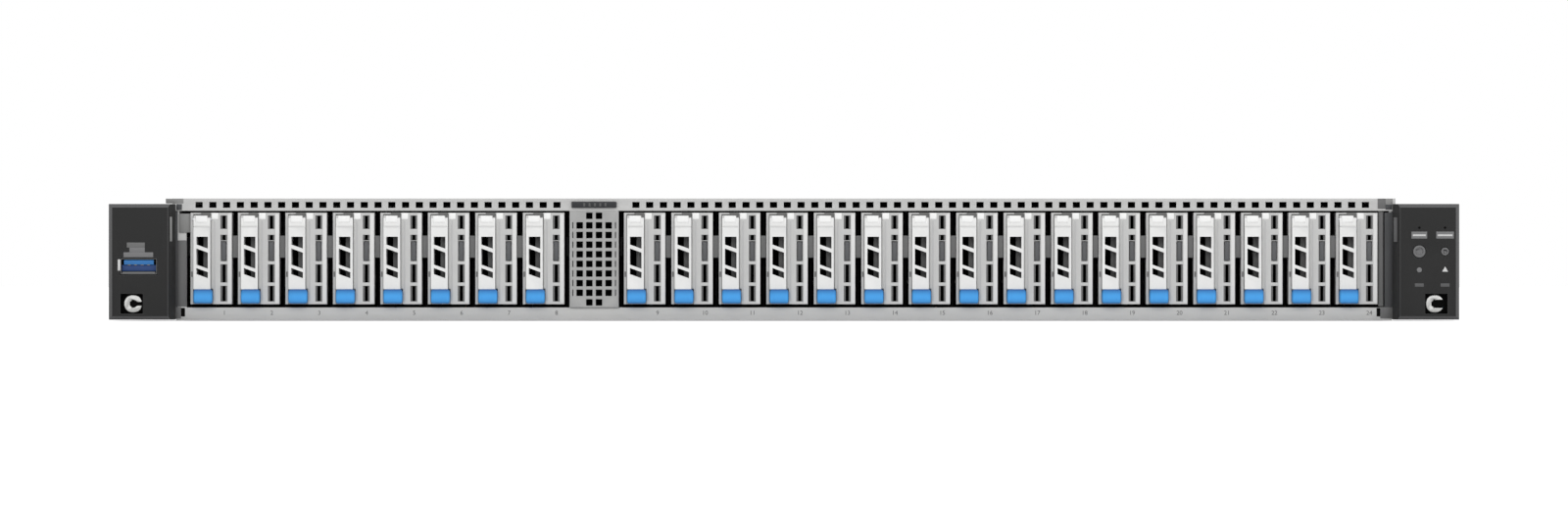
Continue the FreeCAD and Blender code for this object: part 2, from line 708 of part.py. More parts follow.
def make_front_socket():
    """Shielded socket in the left ear: a folded shell around a tongue."""
    x = -EAR_SIDE + 10.8
    z = Size.of(19.3)
    front = EAR_FRONT + 0.4
    body = new_body("socket_shell")
    pad(body, "socket_block", "xz", [rectangle((x - 6.6, x + 6.6), (z - 2.9, z + 2.9))], front, front + 14)
    mouth = [rectangle((x - 6.2, x + 6.2), (z - 2.5, z + 2.5))]
    pocket(body, "socket_mouth", "xz", mouth, front, front + 12)
    pad(body, "socket_tongue", "xz", [rectangle((x - 5.4, x + 5.4), (z + 0.3, z + 2.2))], front + 2, front + 13)
    mount = box("socket_board", (x - 8, x + 8), (front + 4, -0.2), (z - 4.4, z - 2.9))
    node(fuse("socket_with_board", [body, mount]), "front_usb_socket")


# ---------------------------------------------------------------- inside


def make_backplane():
    """Upright board with one edge socket for each drive."""
    body = new_body("backplane_board")
    half = TRAY_HALF - 4
    board = rectangle((-half, half), (D.tray_sheet, STRIP_BASE))
    pad(body, "backplane_sheet", "xz", [board], BACKPLANE_FRONT, BACKPLANE_FRONT + D.board_sheet)
    low = D.drive_base + 3
    high = DRIVE_TOP - 3.5
    socket_front = CASE_REAR + 0.5
    for label, first, count in (("left", BAYS[0], 8), ("right", BAYS[8], 16)):
        walls = [
            (first - 3, low), (first + 3, low), (first + 3, high), (first - 3, high),
        ]
        block = pad(body, f"socket_{label}", "xz", [walls], socket_front, BACKPLANE_FRONT)
        repeat(body, f"sockets_{label}", block, "x", D.bay_pitch, count)
    for label, first, count in (("left", BAYS[0], 8), ("right", BAYS[8], 16)):
        gap = rectangle((first - 1.1, first + 1.1), (D.drive_base + 4.2, DRIVE_TOP - 4.7))
        slot = pocket(body, f"slot_{label}", "xz", [gap], socket_front, CASE_REAR + 6.4)
        repeat(body, f"slots_{label}", slot, "x", D.bay_pitch, count)
    for label, first, count in (("left", BAYS[0], 2), ("right", BAYS[8], 4)):
        vent = rectangle((first + 4.5, first + 12.5), (low + 2, high - 2))
        window = pocket(
            body, f"vent_{label}", "xz", [vent], BACKPLANE_FRONT, BACKPLANE_FRONT + D.board_sheet
        )
        repeat(body, f"vents_{label}", window, "x", D.bay_pitch * 4, count)
    node(body, "backplane")


FAN_COUNT = 6
FAN_CENTRES = [D.fan_pitch * (fan - 2.5) for fan in range(FAN_COUNT)]
FAN_Z = D.tray_sheet + D.fan_size / 2


def make_fans():
    """Square fan frames with a strutted rear wall, joined by blanking walls, and their rotors."""
    half = D.fan_size / 2
    frame = new_body("fan_frame")
    pad(frame, "fan_block", "xz", [rectangle((-half, half), (FAN_Z - half, FAN_Z + half))], FAN_FRONT, FAN_REAR)
    strut_front = FAN_REAR - 3
    pocket(frame, "fan_passage", "xz", [polygon(Size.of(0), FAN_Z, D.fan_bore, 16)], FAN_FRONT, strut_front)
    reach = D.fan_bore * 0.94
    inner = D.hub_radius
    gap = 1.2
    outlets = [
        [
            (gap * a, FAN_Z + inner * b), (inner * a, FAN_Z + gap * b), (reach * a, FAN_Z + gap * b),
            (reach * 0.72 * a, FAN_Z + reach * 0.66 * b), (gap * a, FAN_Z + reach * b),
        ]
        for a in (-1, 1) for b in (-1, 1)
    ]
    pocket(frame, "fan_outlets", "xz", outlets, strut_front, FAN_REAR)
    frames = []
    for number, centre in enumerate(FAN_CENTRES, start=1):
        copy = group(f"fan_frame_{number}", [frame])
        frames.append(place(copy, centre))
    walls = []
    reach = TRAY_HALF - D.tray_sheet
    stops = [-reach] + FAN_CENTRES + [reach]
    for number in range(FAN_COUNT + 1):
        low = stops[number] if number == 0 else stops[number] + half
        high = stops[number + 1] if number == FAN_COUNT else stops[number + 1] - half
        depth = (FAN_FRONT + 4, FAN_FRONT + 5.2)
        walls.append(box(f"fan_wall_{number}", (low, high), depth, (D.tray_sheet, TRAY_TOP - 1.6)))
    node(group("fan_frame_set", frames + walls), "fan_frames")

    rotor = make_rotor(strut_front)
    for number, centre in enumerate(FAN_CENTRES, start=1):
        node(place(group(f"rotor_{number}", [rotor]), centre), f"fan_rotor_{number}")


def make_rotor(strut_front):
    """Hub cup that runs just ahead of the struts, with raked blades."""
    depth = 24.0
    end = strut_front - D.slide_clearance
    start = end - depth
    hub = plate("rotor_hub", "xz", polygon(Size.of(0), FAN_Z, D.hub_radius, 10), start, end)
    boss = rod("rotor_boss", "y", (0, start - 1, FAN_Z), D.hub_radius * 0.6, 2)
    blades = []
    blade_count = 5
    for number in range(blade_count):
        blade = new_body(f"blade_{number}")
        angle = 360.0 * number / blade_count
        profile = [(-4.4, start + 2), (-2.8, start + 1), (5.6, start + depth - 3), (4.2, start + depth - 1)]
        pad(blade, f"blade_{number}_pad", "xy", [profile], D.hub_radius - 2, D.blade_radius - 1.0)
        blade.Placement = Placement(Vector(0, 0, FAN_Z.value), Rotation(Vector(0, 1, 0), angle))
        bind(blade, "Placement.Base.z", FAN_Z)
        blades.append(blade)
    return fuse("rotor_master", [hub, boss] + blades)


def make_mainboard():
    """Board that passes beside the power supplies, on standoffs, with its fixed parts."""
    half = TRAY_HALF - 6
    corner = SUPPLY_LEFT - 5
    front_rear = SUPPLY_FRONT - 12
    plan = [
        (-half, BOARD_FRONT), (half, BOARD_FRONT), (half, front_rear), (corner, front_rear),
        (corner, REAR - 4), (-half, REAR - 4),
    ]
    board = new_body("board_body")
    pad(board, "board_sheet_pad", "xy", [plan], D.board_base, BOARD_TOP)
    pieces = [board]
    rows = [
        (x, level)
        for level in (BOARD_FRONT + 8, (BOARD_FRONT + front_rear) / 2, front_rear - 8)
        for x in (-half + 4, Size.of(0), half - 4)
    ]
    rows += [(-half + 4, REAR - 40), (corner - 5, REAR - 40)]
    for number, (x, level) in enumerate(rows):
        pieces.append(plate(f"standoff_{number}", "xy", polygon(x, level, 3.2, 6), D.tray_sheet, D.board_base))
    block_rear = front_rear - 6
    pieces += [
        box("power_header_left", (60, 100), (block_rear - 14, block_rear), (BOARD_TOP, BOARD_TOP + 9)),
        box("power_header_right", (120, 160), (block_rear - 14, block_rear), (BOARD_TOP, BOARD_TOP + 9)),
        box(
            "hub_sink", (SUPPLY_LEFT - 70.5, SUPPLY_LEFT - 38.5), (SUPPLY_FRONT + 30, SUPPLY_FRONT + 62),
            (BOARD_TOP, BOARD_TOP + 12),
        ),
        box(
            "management_chip", (SUPPLY_LEFT - 66.5, SUPPLY_LEFT - 48.5), (SUPPLY_FRONT + 100, SUPPLY_FRONT + 118),
            (BOARD_TOP, BOARD_TOP + 2),
        ),
        rod("cell_holder", "z", (SUPPLY_LEFT - 26.5, SUPPLY_FRONT + 20, BOARD_TOP), 10.5, 5.0),
    ]
    for side in (-1, 1):
        for number in range(6):
            x = D.socket_centre * side + 12 * (number - 2.5)
            level = SINK_FRONT + D.sink_length + 8
            pieces.append(
                box(f"choke_{side + 1}_{number}", (x - 4, x + 4), (level, level + 8), (BOARD_TOP, BOARD_TOP + 7))
            )
    node(fuse("board_with_parts", pieces), "mainboard")


SINK_FRONT = BOARD_FRONT + 57


def make_heatsinks():
    """Two finned blocks over the processor sockets."""
    sinks = []
    for side, label in ((-1, "left"), (1, "right")):
        centre = D.socket_centre * side
        half = D.sink_width / 2
        base = BOARD_TOP + 4
        top = TRAY_TOP - 3
        fins = 20
        pitch = D.sink_width / fins
        section = [(centre - half, base), (centre + half, base)]
        for fin in range(fins):
            right = centre + half - pitch * fin
            section += [(right, top), (right - pitch * 0.4, top)]
            if fin < fins - 1:
                section += [(right - pitch * 0.4, base + 4), (right - pitch, base + 4)]
        section[-1] = (centre - half + pitch * 0.6, top)
        section += [(centre - half + pitch * 0.6, base + 4), (centre - half, base + 4)]
        sink = plate(f"{label}_sink", "xz", section, SINK_FRONT, SINK_FRONT + D.sink_length)
        socket = box(
            f"{label}_socket", (centre - half + 4, centre + half - 4),
            (SINK_FRONT + 6, SINK_FRONT + D.sink_length - 6), (BOARD_TOP, base),
        )
        sinks += [sink, socket]
    node(group("sink_set", sinks), "cpu_heatsinks")


def make_memory():
    """Four banks of eight upright modules in latched sockets."""
    front = SINK_FRONT + (D.sink_length - D.module_length) / 2
    rear = front + D.module_length
    seat = BOARD_TOP + 1.4
    socket = new_body("module_socket")
    side = [
        (front - 6, BOARD_TOP), (rear + 6, BOARD_TOP), (rear + 6, BOARD_TOP + 16), (rear + 1.5, BOARD_TOP + 13),
        (rear + 0.6, BOARD_TOP + 6), (front - 0.6, BOARD_TOP + 6), (front - 1.5, BOARD_TOP + 13),
        (front - 6, BOARD_TOP + 16),
    ]
    pad(socket, "module_socket_pad", "yz", [side], -2.6, 2.6)
    in_slot = BOARD_TOP + 6
    module = box("module_card", (-0.65, 0.65), (front, rear), (in_slot, seat + D.module_height))
    banks = [-205.5, -60.0, 8.2, 153.7]
    copies = []
    for bank, start in enumerate(banks):
        for number in range(8):
            x = D.module_pitch * number + start
            copies.append(place(group(f"module_{bank}_{number}", [socket, module]), x))
    node(group("memory_set", copies), "memory_modules")


# ---------------------------------------------------------------- rear

SLOT_LEFT = Size.of(-212.0)
SLOT_WIDTH = Size.of(80.0)
SLOT_BASE = Size.of(21.5)
SLOT_TOP = Size.of(39.5)
PORTS_LEFT = Size.of(-44.0)


def make_rear_panel():
    """Rear wall with openings for cards, ports, supplies and air."""
    body = new_body("rear_wall")
    inner = TRAY_HALF - D.tray_sheet
    front = REAR - D.tray_sheet
    wall = rectangle((-inner, inner), (D.tray_sheet, TRAY_TOP - D.tray_sheet))
    pad(body, "rear_sheet", "xz", [wall], front, REAR)
    gap = D.slide_clearance
    windows = [
        rectangle(
            (SUPPLY_LEFT - gap, D.supply_right + gap),
            (D.tray_sheet + gap, D.tray_sheet + D.supply_height + gap * 3),
        ),
        rectangle((SLOT_LEFT, SLOT_LEFT + SLOT_WIDTH - 3), (SLOT_BASE, SLOT_TOP)),
        rectangle((SLOT_LEFT + SLOT_WIDTH, SLOT_LEFT + SLOT_WIDTH * 2 - 3), (SLOT_BASE, SLOT_TOP)),
        rectangle((SLOT_LEFT, SLOT_LEFT + SLOT_WIDTH - 3), (BOARD_TOP - 2, BOARD_TOP + 12)),
        rectangle((PORTS_LEFT, PORTS_LEFT + 32), (BOARD_TOP, BOARD_TOP + 12.4)),
        rectangle((PORTS_LEFT + 38, PORTS_LEFT + 52), (BOARD_TOP, BOARD_TOP + 16)),
        rectangle((PORTS_LEFT + 58, PORTS_LEFT + 74), (BOARD_TOP, BOARD_TOP + 14)),
    ]
    pocket(body, "rear_windows", "xz", windows, front, REAR)
    for label, start, row_height, count in (
        ("low", SLOT_LEFT + SLOT_WIDTH + 4, BOARD_TOP + 4, 6),
        ("upper", PORTS_LEFT + 2, BOARD_TOP + 20, 8),
        ("top", PORTS_LEFT + 2, BOARD_TOP + 26, 8),
    ):
        opening = rectangle((start, start + 8.0), (row_height, row_height + 3.4))
        hole = pocket(body, f"vent_hole_{label}", "xz", [opening], front, REAR)
        repeat(body, f"vent_row_{label}", hole, "x", Size.of(10.0), count)
    node(body, "rear_panel")


def make_riser_cage():
    """Sheet-metal cage over two card slots, with its cards and slot plates."""
    left = SLOT_LEFT
    right = SLOT_LEFT + SLOT_WIDTH * 2
    rear = REAR - D.tray_sheet
    front = rear - 176
    shelf = box("riser_shelf", (left, right), (front, rear), (SLOT_BASE - 3, SLOT_BASE - 2))
    pieces = [shelf]
    for label, x in (("left", left), ("right", right - 1.0)):
        pieces.append(box(f"riser_wall_{label}", (x, x + 1.0), (front, rear), (BOARD_TOP, SLOT_TOP + 1)))
    riser = box(
        "riser_board", (left + SLOT_WIDTH - 1.5 - 0.8, left + SLOT_WIDTH - 1.5 + 0.8), (front + 20, rear - 40),
        (BOARD_TOP, SLOT_BASE + 12),
    )
    cage = fuse("riser_sheet", pieces + [riser])
    cards = []
    for number in range(2):
        start = left + SLOT_WIDTH * number
        end = start + SLOT_WIDTH - 3
        cover = box(f"slot_plate_{number}", (start, end), (rear, REAR - 0.2), (SLOT_BASE, SLOT_TOP))
        card = box(f"card_{number}", (start + 1.4, end), (rear - 130, rear), (SLOT_BASE + 3, SLOT_BASE + 4.6))
        cards.append(fuse(f"slot_card_{number}", [cover, card]))
    network = box(
        "network_plate", (left, left + SLOT_WIDTH - 3), (rear, REAR - 0.2), (BOARD_TOP, BOARD_TOP + 12)
    )
    module = box("network_module", (left + 3, left + SLOT_WIDTH - 8), (rear - 90, rear), (BOARD_TOP, BOARD_TOP + 9))
    cards.append(fuse("network_card", [network, module]))
    node(group("riser_set", [cage] + cards), "riser_cage")


def make_rear_ports():
    """Video, data and network sockets on the board's rear edge."""
    front = REAR - 16
    solids = []
    base = BOARD_TOP
    video = new_body("video_port")
    left = PORTS_LEFT + 0.5
    pad(video, "video_block", "xz", [rectangle((left, left + 31), (base, base + 12))], front, REAR)
    shape = [
        (left + 8, base + 2.2), (left + 23, base + 2.2), (left + 24.4, base + 9.8), (left + 6.6, base + 9.8),
    ]
    pad(video, "video_shell", "xz", [shape], REAR, REAR + 5)
    solids.append(video)
    for number in range(2):
        low = base + 7.6 * number
        x = PORTS_LEFT + 38.4
        port = new_body(f"data_port_{number}")
        pad(port, f"data_block_{number}", "xz", [rectangle((x, x + 13.2), (low, low + 7.4))], front, REAR + 0.6)
        mouth = rectangle((x + 0.5, x + 12.7), (low + 1.2, low + 6.2))
        pocket(port, f"data_mouth_{number}", "xz", [mouth], REAR - 9, REAR + 0.6)
        tongue = rectangle((x + 1.4, x + 11.8), (low + 3.9, low + 5.8))
        pad(port, f"data_tongue_{number}", "xz", [tongue], REAR - 10, REAR - 1)
        solids.append(port)
    jack = new_body("network_jack")
    x = PORTS_LEFT + 58.3
    pad(jack, "jack_block", "xz", [rectangle((x, x + 15.4), (base, base + 13.6))], front, REAR + 0.6)
    socket = [
        (x + 1.8, base + 1.4), (x + 13.6, base + 1.4), (x + 13.6, base + 9.4), (x + 10.4, base + 9.4),
        (x + 10.4, base + 12), (x + 5.0, base + 12), (x + 5.0, base + 9.4), (x + 1.8, base + 9.4),
    ]
    pocket(jack, "jack_mouth", "xz", [socket], REAR - 12, REAR + 0.6)
    solids.append(jack)
    node(group("port_set", solids), "rear_ports")


def make_supplies():
    """Two plug-in supplies, each with inlet, fan guard, handle and latch."""
    low = D.tray_sheet + D.slide_clearance
    high = low + D.supply_height
    width = D.supply_width
    case = new_body("supply_case")
    pad(case, "supply_block", "xz", [rectangle((0, width), (low, high))], SUPPLY_FRONT, REAR)
    inlet = [
        (5, low + 5), (9, low + 3), (25, low + 3), (29, low + 5), (29, low + 19), (5, low + 19),
    ]
    pocket(case, "inlet_well", "xz", [inlet], REAR - 14, REAR)
    pocket(case, "fan_well", "xz", [], REAR - 6, REAR, circles=[(width - 21, (low + high) / 2, 17.0)])
    fan_x = width - 21
    fan_z = (low + high) / 2
    parts = [case]
    for number, (x, z) in enumerate(((17, low + 14.5), (12.5, low + 8.5), (21.5, low + 8.5))):
        parts.append(box(f"inlet_pin_{number}", (x - 1.2, x + 1.2), (REAR - 14.4, REAR - 7), (z - 2, z + 2)))
    parts += [
        box("guard_across", (fan_x - 17.4, fan_x + 17.4), (REAR - 2, REAR - 0.8), (fan_z - 1, fan_z + 1)),
        box("guard_upright", (fan_x - 1, fan_x + 1), (REAR - 2, REAR - 0.8), (fan_z - 17.4, fan_z + 17.4)),
        plate("guard_hub", "xz", polygon(fan_x, fan_z, 7.0, 12), REAR - 5.8, REAR - 0.8),
    ]
    handle = [
        (5, REAR), (5, REAR + 20), (8, REAR + 24), (24, REAR + 24), (27, REAR + 20), (27, REAR),
        (24.6, REAR), (24.6, REAR + 19), (23, REAR + 21.4), (9, REAR + 21.4), (7.4, REAR + 19), (7.4, REAR),
    ]
    loop = plate("supply_handle", "xy", handle, low + 24, low + 31)
    edge = box("supply_card_edge", (14, 60), (SUPPLY_FRONT - 8, SUPPLY_FRONT), (low + 6, low + 7.6))
    base, top = low + 23.5, low + 31.5
    lug = [
        (LATCH_PIN_X - 2, REAR), (LATCH_PIN_X + 2, REAR), (LATCH_PIN_X + 2, LATCH_PIN_Y + 1),
        (LATCH_PIN_X + 1, LATCH_PIN_Y + 2), (LATCH_PIN_X - 1, LATCH_PIN_Y + 2), (LATCH_PIN_X - 2, LATCH_PIN_Y + 1),
    ]
    lugs = [
        plate("latch_lug_low", "xy", lug, base - 2.3, base - 0.3),
        plate("latch_lug_high", "xy", lug, top + 0.3, top + 2.3),
    ]
    pin = rod("latch_pin", "z", (LATCH_PIN_X, LATCH_PIN_Y, base - 2), PIN_RADIUS, top - base + 4)
    whole = fuse("supply_whole", parts + [edge, pin] + lugs)
    lever = [
        (LATCH_PIN_X - 1.9, REAR + 1.2), (LATCH_PIN_X + 1.9, REAR + 1.2), (LATCH_PIN_X + 1.9, REAR + 13),
        (LATCH_PIN_X + 4.6, REAR + 17.4), (LATCH_PIN_X + 3.4, REAR + 19), (LATCH_PIN_X, REAR + 15),
        (LATCH_PIN_X - 1.9, LATCH_PIN_Y + 4),
    ]
    latch = plate("supply_lever", "xy", lever, base, top)
    pivot = (LATCH_PIN_X, LATCH_PIN_Y, base - 1)
    bore = rod("supply_lever_bore", "z", pivot, PIN_RADIUS + PIN_CLEARANCE, top - base + 2)
    hinged = cut("supply_lever_bored", latch, [bore])
    for number in (1, 2):
        x = SUPPLY_LEFT + (width + D.supply_gap) * (number - 1)
        node(place(group(f"supply_{number}", [whole, loop]), x), f"psu_{number}")
        node(place(group(f"supply_latch_{number}", [hinged]), x), f"psu_{number}_latch")


LATCH_PIN_X = Size.of(34.0)
LATCH_PIN_Y = REAR + 3.6
PIN_RADIUS = 0.9
PIN_CLEARANCE = 0.05


# ---------------------------------------------------------------- covers


def make_top_cover():
    """Lift-off lid with a recess for its latch, and the side flanges welded under its edges."""
    body = new_body("top_cover_body")
    flange_low = COVER_TOP - D.cover_skirt
    inner = HALF - D.cover_sheet
    front = COVER_SPLIT + 1
    pad(body, "top_cover_sheet", "xz", [rectangle((-HALF, HALF), (TRAY_TOP, COVER_TOP))], front, REAR)
    pocket(body, "latch_cut", "xy", [rectangle(LATCH_X, LATCH_Y)], TRAY_TOP, COVER_TOP)
    wall = D.cover_sheet
    outer = rectangle((LATCH_X[0] - wall, LATCH_X[1] + wall), (LATCH_Y[0] - wall, LATCH_Y[1] + wall))
    pad(body, "latch_dish", "xy", [outer], DISH_FLOOR - 0.6, TRAY_TOP)
    pocket(body, "latch_dish_hollow", "xy", [rectangle(LATCH_X, LATCH_Y)], DISH_FLOOR, TRAY_TOP)
    span = LATCH_X[1] - LATCH_X[0] + 2 * wall
    pivot = (LATCH_X[0] - wall, FLAP_PIVOT_Y, FLAP_PIVOT_Z)
    bore = rod("flap_bore", "x", pivot, PIN_RADIUS + PIN_CLEARANCE, span)
    flanges = [
        box(f"lid_flange_{label}", x, (front, REAR), (flange_low, TRAY_TOP))
        for label, x in (("left", (-HALF, -inner)), ("right", (inner, HALF)))
    ]
    node(group("top_cover_set", [cut("top_cover_bored", body, [bore])] + flanges), "top_cover")


LATCH_X = (Size.of(-26), Size.of(26))
LATCH_Y = (COVER_SPLIT + 16, COVER_SPLIT + 50)
DISH_FLOOR = TRAY_TOP - 2.4
FLAP_PIVOT_Y = LATCH_Y[1] - 2.4
FLAP_PIVOT_Z = TRAY_TOP - 0.7


def make_cover_latch():
    """Flap in the recess of the lid, on a cross pin at its rear edge."""
    gap = 0.4
    flap = box(
        "latch_flap", (LATCH_X[0] + gap, LATCH_X[1] - gap), (LATCH_Y[0] + 7, FLAP_PIVOT_Y + 0.9),
        (FLAP_PIVOT_Z - 0.9, FLAP_PIVOT_Z + 0.9),
    )
    reach = D.cover_sheet * 0.8
    start = (LATCH_X[0] - reach, FLAP_PIVOT_Y, FLAP_PIVOT_Z)
    pin = rod("flap_pin", "x", start, PIN_RADIUS, LATCH_X[1] - LATCH_X[0] + 2 * reach)
    node(fuse("latch_flap_pinned", [flap, pin]), "cover_latch")


def build():
    """Make every piece, check the document and write one file for each piece."""
    make_tray()
    make_bay_dividers()
    make_front_grille()
    make_front_cover()
    make_info_tag()
    make_drives()
    make_ears()
    make_rack_screws()
    make_buttons()
    make_front_socket()
    make_backplane()
    make_fans()
    make_mainboard()
    make_heatsinks()
    make_memory()
    make_rear_panel()
    make_riser_cage()
    make_rear_ports()
    make_supplies()
    make_top_cover()
    make_cover_latch()
    DOC.recompute()
    check_document()
    os.makedirs("parts", exist_ok=True)
    for piece in NODES:
        piece.Shape.exportStep(f"parts/{piece.Label}.step")
    print(len(NODES), "pieces written")


def check_document():
    """Stop if an object failed, a pocket cut nothing or a piece is not a valid solid."""
    for thing in DOC.Objects:
        if "Invalid" in thing.State or "Error" in thing.State:
            raise RuntimeError(f"{thing.Name} failed: {thing.State}")
        if thing.TypeId == "PartDesign::Pocket":
            base = thing.BaseFeature
            if base is not None and thing.Shape.Volume > base.Shape.Volume - 1e-3:
                raise RuntimeError(f"{thing.Name} takes nothing away")
    for piece in NODES:
        if piece.Shape.isNull() or not piece.Shape.isValid() or not piece.Shape.Solids:
            raise RuntimeError(f"{piece.Label} is not a valid solid")


build()
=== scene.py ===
"""Finishes, fine pieces, light and camera for a one-unit rack server.

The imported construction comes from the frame. Every rigid node is copied, its edges are broken
with a small bevel, and it is dressed in a procedural finish; small pieces such as chips, screws,
light pipes and bay numbers are modelled here and ride on the body that carries them.
Lengths are in metres, and those of a Slab are in millimetres.
"""

import logging
import math
from dataclasses import dataclass, field
from enum import Enum
from typing import Callable, Iterable, Sequence

import bpy
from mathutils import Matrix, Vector


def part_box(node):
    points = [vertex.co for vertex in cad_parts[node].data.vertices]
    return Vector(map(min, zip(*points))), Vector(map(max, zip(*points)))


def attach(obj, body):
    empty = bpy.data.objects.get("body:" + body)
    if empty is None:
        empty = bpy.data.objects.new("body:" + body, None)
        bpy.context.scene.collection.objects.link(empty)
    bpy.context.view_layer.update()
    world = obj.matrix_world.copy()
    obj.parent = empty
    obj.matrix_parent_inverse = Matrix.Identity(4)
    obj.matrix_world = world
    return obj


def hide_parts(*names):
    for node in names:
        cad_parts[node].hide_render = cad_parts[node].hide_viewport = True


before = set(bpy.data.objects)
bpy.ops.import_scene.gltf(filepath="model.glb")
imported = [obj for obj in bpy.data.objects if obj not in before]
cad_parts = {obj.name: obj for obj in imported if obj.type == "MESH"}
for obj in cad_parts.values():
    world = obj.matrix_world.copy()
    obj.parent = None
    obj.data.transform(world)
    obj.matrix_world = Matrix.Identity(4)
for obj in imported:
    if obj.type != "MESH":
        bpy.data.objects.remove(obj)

LOG = logging.getLogger("rack_server")
MM = 0.001
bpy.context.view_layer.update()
Corner = tuple[float, float, float]
Colour = tuple[float, float, float]
WHITE: Colour = (1.0, 1.0, 1.0)


def srgb(red: int, green: int, blue: int) -> Colour:
    """Turn display colour numbers into scene colour.

    Args:
        red: Red, 0 to 255.
        green: Green, 0 to 255.
        blue: Blue, 0 to 255.

    Returns:
        The colour in linear light.
    """

    def linear(step: int) -> float:
        """Return one channel in linear light."""
        part = step / 255
        return part / 12.92 if part <= 0.04045 else ((part + 0.055) / 1.055) ** 2.4

    return linear(red), linear(green), linear(blue)


class Axis(Enum):
    """An axis of the frame: X across the rack, Y to the rear, Z up."""

    X = 0
    Y = 1
    Z = 2


# ------------------------------------------------------------------ shader maths


class Value:
    """A node's output that takes part in Python arithmetic."""

    def __init__(self, nodes: "Nodes", socket: bpy.types.NodeSocket) -> None:
        """Wrap an output of a node tree."""
        self.nodes = nodes
        self.socket = socket

    def _join(self, operation: str, first: object, second: object) -> "Value":
        """Add one Math node.

        Args:
            operation: The Math node's operation.
            first: A Value or a number.
            second: A Value or a number.

        Returns:
            The node's result.
        """
        return self.nodes.value("ShaderNodeMath", {"operation": operation}, {0: first, 1: second})

    def __add__(self, other: object) -> "Value":
        """Add."""
        return self._join("ADD", self, other)

    def __radd__(self, other: object) -> "Value":
        """Add, reflected."""
        return self._join("ADD", other, self)

    def __sub__(self, other: object) -> "Value":
        """Subtract."""
        return self._join("SUBTRACT", self, other)

    def __rsub__(self, other: object) -> "Value":
        """Subtract, reflected."""
        return self._join("SUBTRACT", other, self)

    def __mul__(self, other: object) -> "Value":
        """Multiply."""
        return self._join("MULTIPLY", self, other)

    def __rmul__(self, other: object) -> "Value":
        """Multiply, reflected."""
        return self._join("MULTIPLY", other, self)

    def over(self, limit: float) -> "Value":
        """Return 1 where the value is above a limit, else 0."""
        return self._join("GREATER_THAN", self, limit)

    def under(self, limit: float) -> "Value":
        """Return 1 where the value is below a limit, else 0."""
        return self._join("LESS_THAN", self, limit)

    def most(self, other: "Value") -> "Value":
        """Return the greater of two values."""
        return self._join("MAXIMUM", self, other)


class Nodes:
    """A node tree that one method fills."""

    def __init__(self, tree: bpy.types.NodeTree) -> None:
        """Take over a tree and empty it."""
        self.tree = tree
        self.tree.nodes.clear()

    def give(self, socket: bpy.types.NodeSocket, given: object) -> None:
        """Link a Value to an input, or set a colour or a number on it."""
        if isinstance(given, Value):
            self.tree.links.new(given.socket, socket)
        elif socket.type == "RGBA":
            socket.default_value = (*given, 1.0)
        else:
            socket.default_value = given

    def add(self, kind: str, settings: dict[str, object], inputs: dict[object, object]) -> bpy.types.Node:
        """Add a node.

        Args:
            kind: The node's type.
            settings: Its properties, set first.
            inputs: Numbers, colours or Values by input name or index.

        Returns:
            The node.
        """
        node = self.tree.nodes.new(kind)
        for key, setting in settings.items():
            setattr(node, key, setting)
        for key, given in inputs.items():
            self.give(node.inputs[key], given)
        return node

    def value(
        self, kind: str, settings: dict[str, object], inputs: dict[object, object], output: object = 0
    ) -> Value:
        """Add a node and return one of its outputs, by name or index."""
        return Value(self, self.add(kind, settings, inputs).outputs[output])


class Graph(Nodes):
    """The node tree of one material, with a Principled shader at its end."""

    def __init__(self, name: str) -> None:
        """Start an empty material."""
        self.material = bpy.data.materials.new(name)
        self.material.use_nodes = True
        super().__init__(self.material.node_tree)
        self.shader = self.add("ShaderNodeBsdfPrincipled", {}, {})
        self.add("ShaderNodeOutputMaterial", {}, {"Surface": Value(self, self.shader.outputs[0])})
        self.place = self.value("ShaderNodeTexCoord", {}, {}, "Object")

    def noise(self, scale: float, stretch: Corner = (1, 1, 1), detail: float = 2.0) -> Value:
        """Return a noise value whose pattern may be stretched along an axis."""
        placed = self.value("ShaderNodeMapping", {}, {"Vector": self.place, "Scale": stretch})
        inputs = {"Vector": placed, "Scale": scale, "Detail": detail}
        return self.value("ShaderNodeTexNoise", {}, inputs, "Fac")

    def cells(self, scale: float) -> Value:
        """Return a random value for each cell of a Voronoi pattern."""
        return self.value("ShaderNodeTexVoronoi", {}, {"Vector": self.place, "Scale": scale}, "Color")

    def distance(self, scale: float, feature: str) -> Value:
        """Return the distance to the middles or the edges of a Voronoi pattern."""
        inputs = {"Vector": self.place, "Scale": scale}
        return self.value("ShaderNodeTexVoronoi", {"feature": feature}, inputs, "Distance")

    def coordinate(self, axis: Axis) -> Value:
        """Return the place along one axis."""
        return self.value("ShaderNodeSeparateXYZ", {}, {0: self.place}, axis.name)

    def mix(self, factor: Value, first: Colour | Value, second: Colour | Value) -> Value:
        """Mix two colours by a value."""
        return self.value("ShaderNodeMix", {"data_type": "RGBA"}, {0: factor, 6: first, 7: second}, 2)

    def drive(self, name: str, given: object) -> None:
        """Give the shader's input a number, a colour or a Value."""
        self.give(self.shader.inputs[name], given)

    def tint(self, factor: Value, colour: Colour, dark: float, light: float) -> None:
        """Colour the surface between a darker and a lighter shade of one colour."""
        self.drive("Base Color", self.mix(factor, lighter(colour, dark), lighter(colour, light)))

    def bump(self, height: Value, strength: float, distance: float) -> None:
        """Raise the surface by a value."""
        wanted = {"Height": height, "Strength": strength, "Distance": distance}
        self.drive("Normal", self.value("ShaderNodeBump", {}, wanted, "Normal"))


def lighter(colour: Colour, factor: float) -> Colour:
    """Scale a colour, kept under white."""
    return tuple(min(channel * factor, 0.95) for channel in colour)


# ------------------------------------------------------------------ finishes


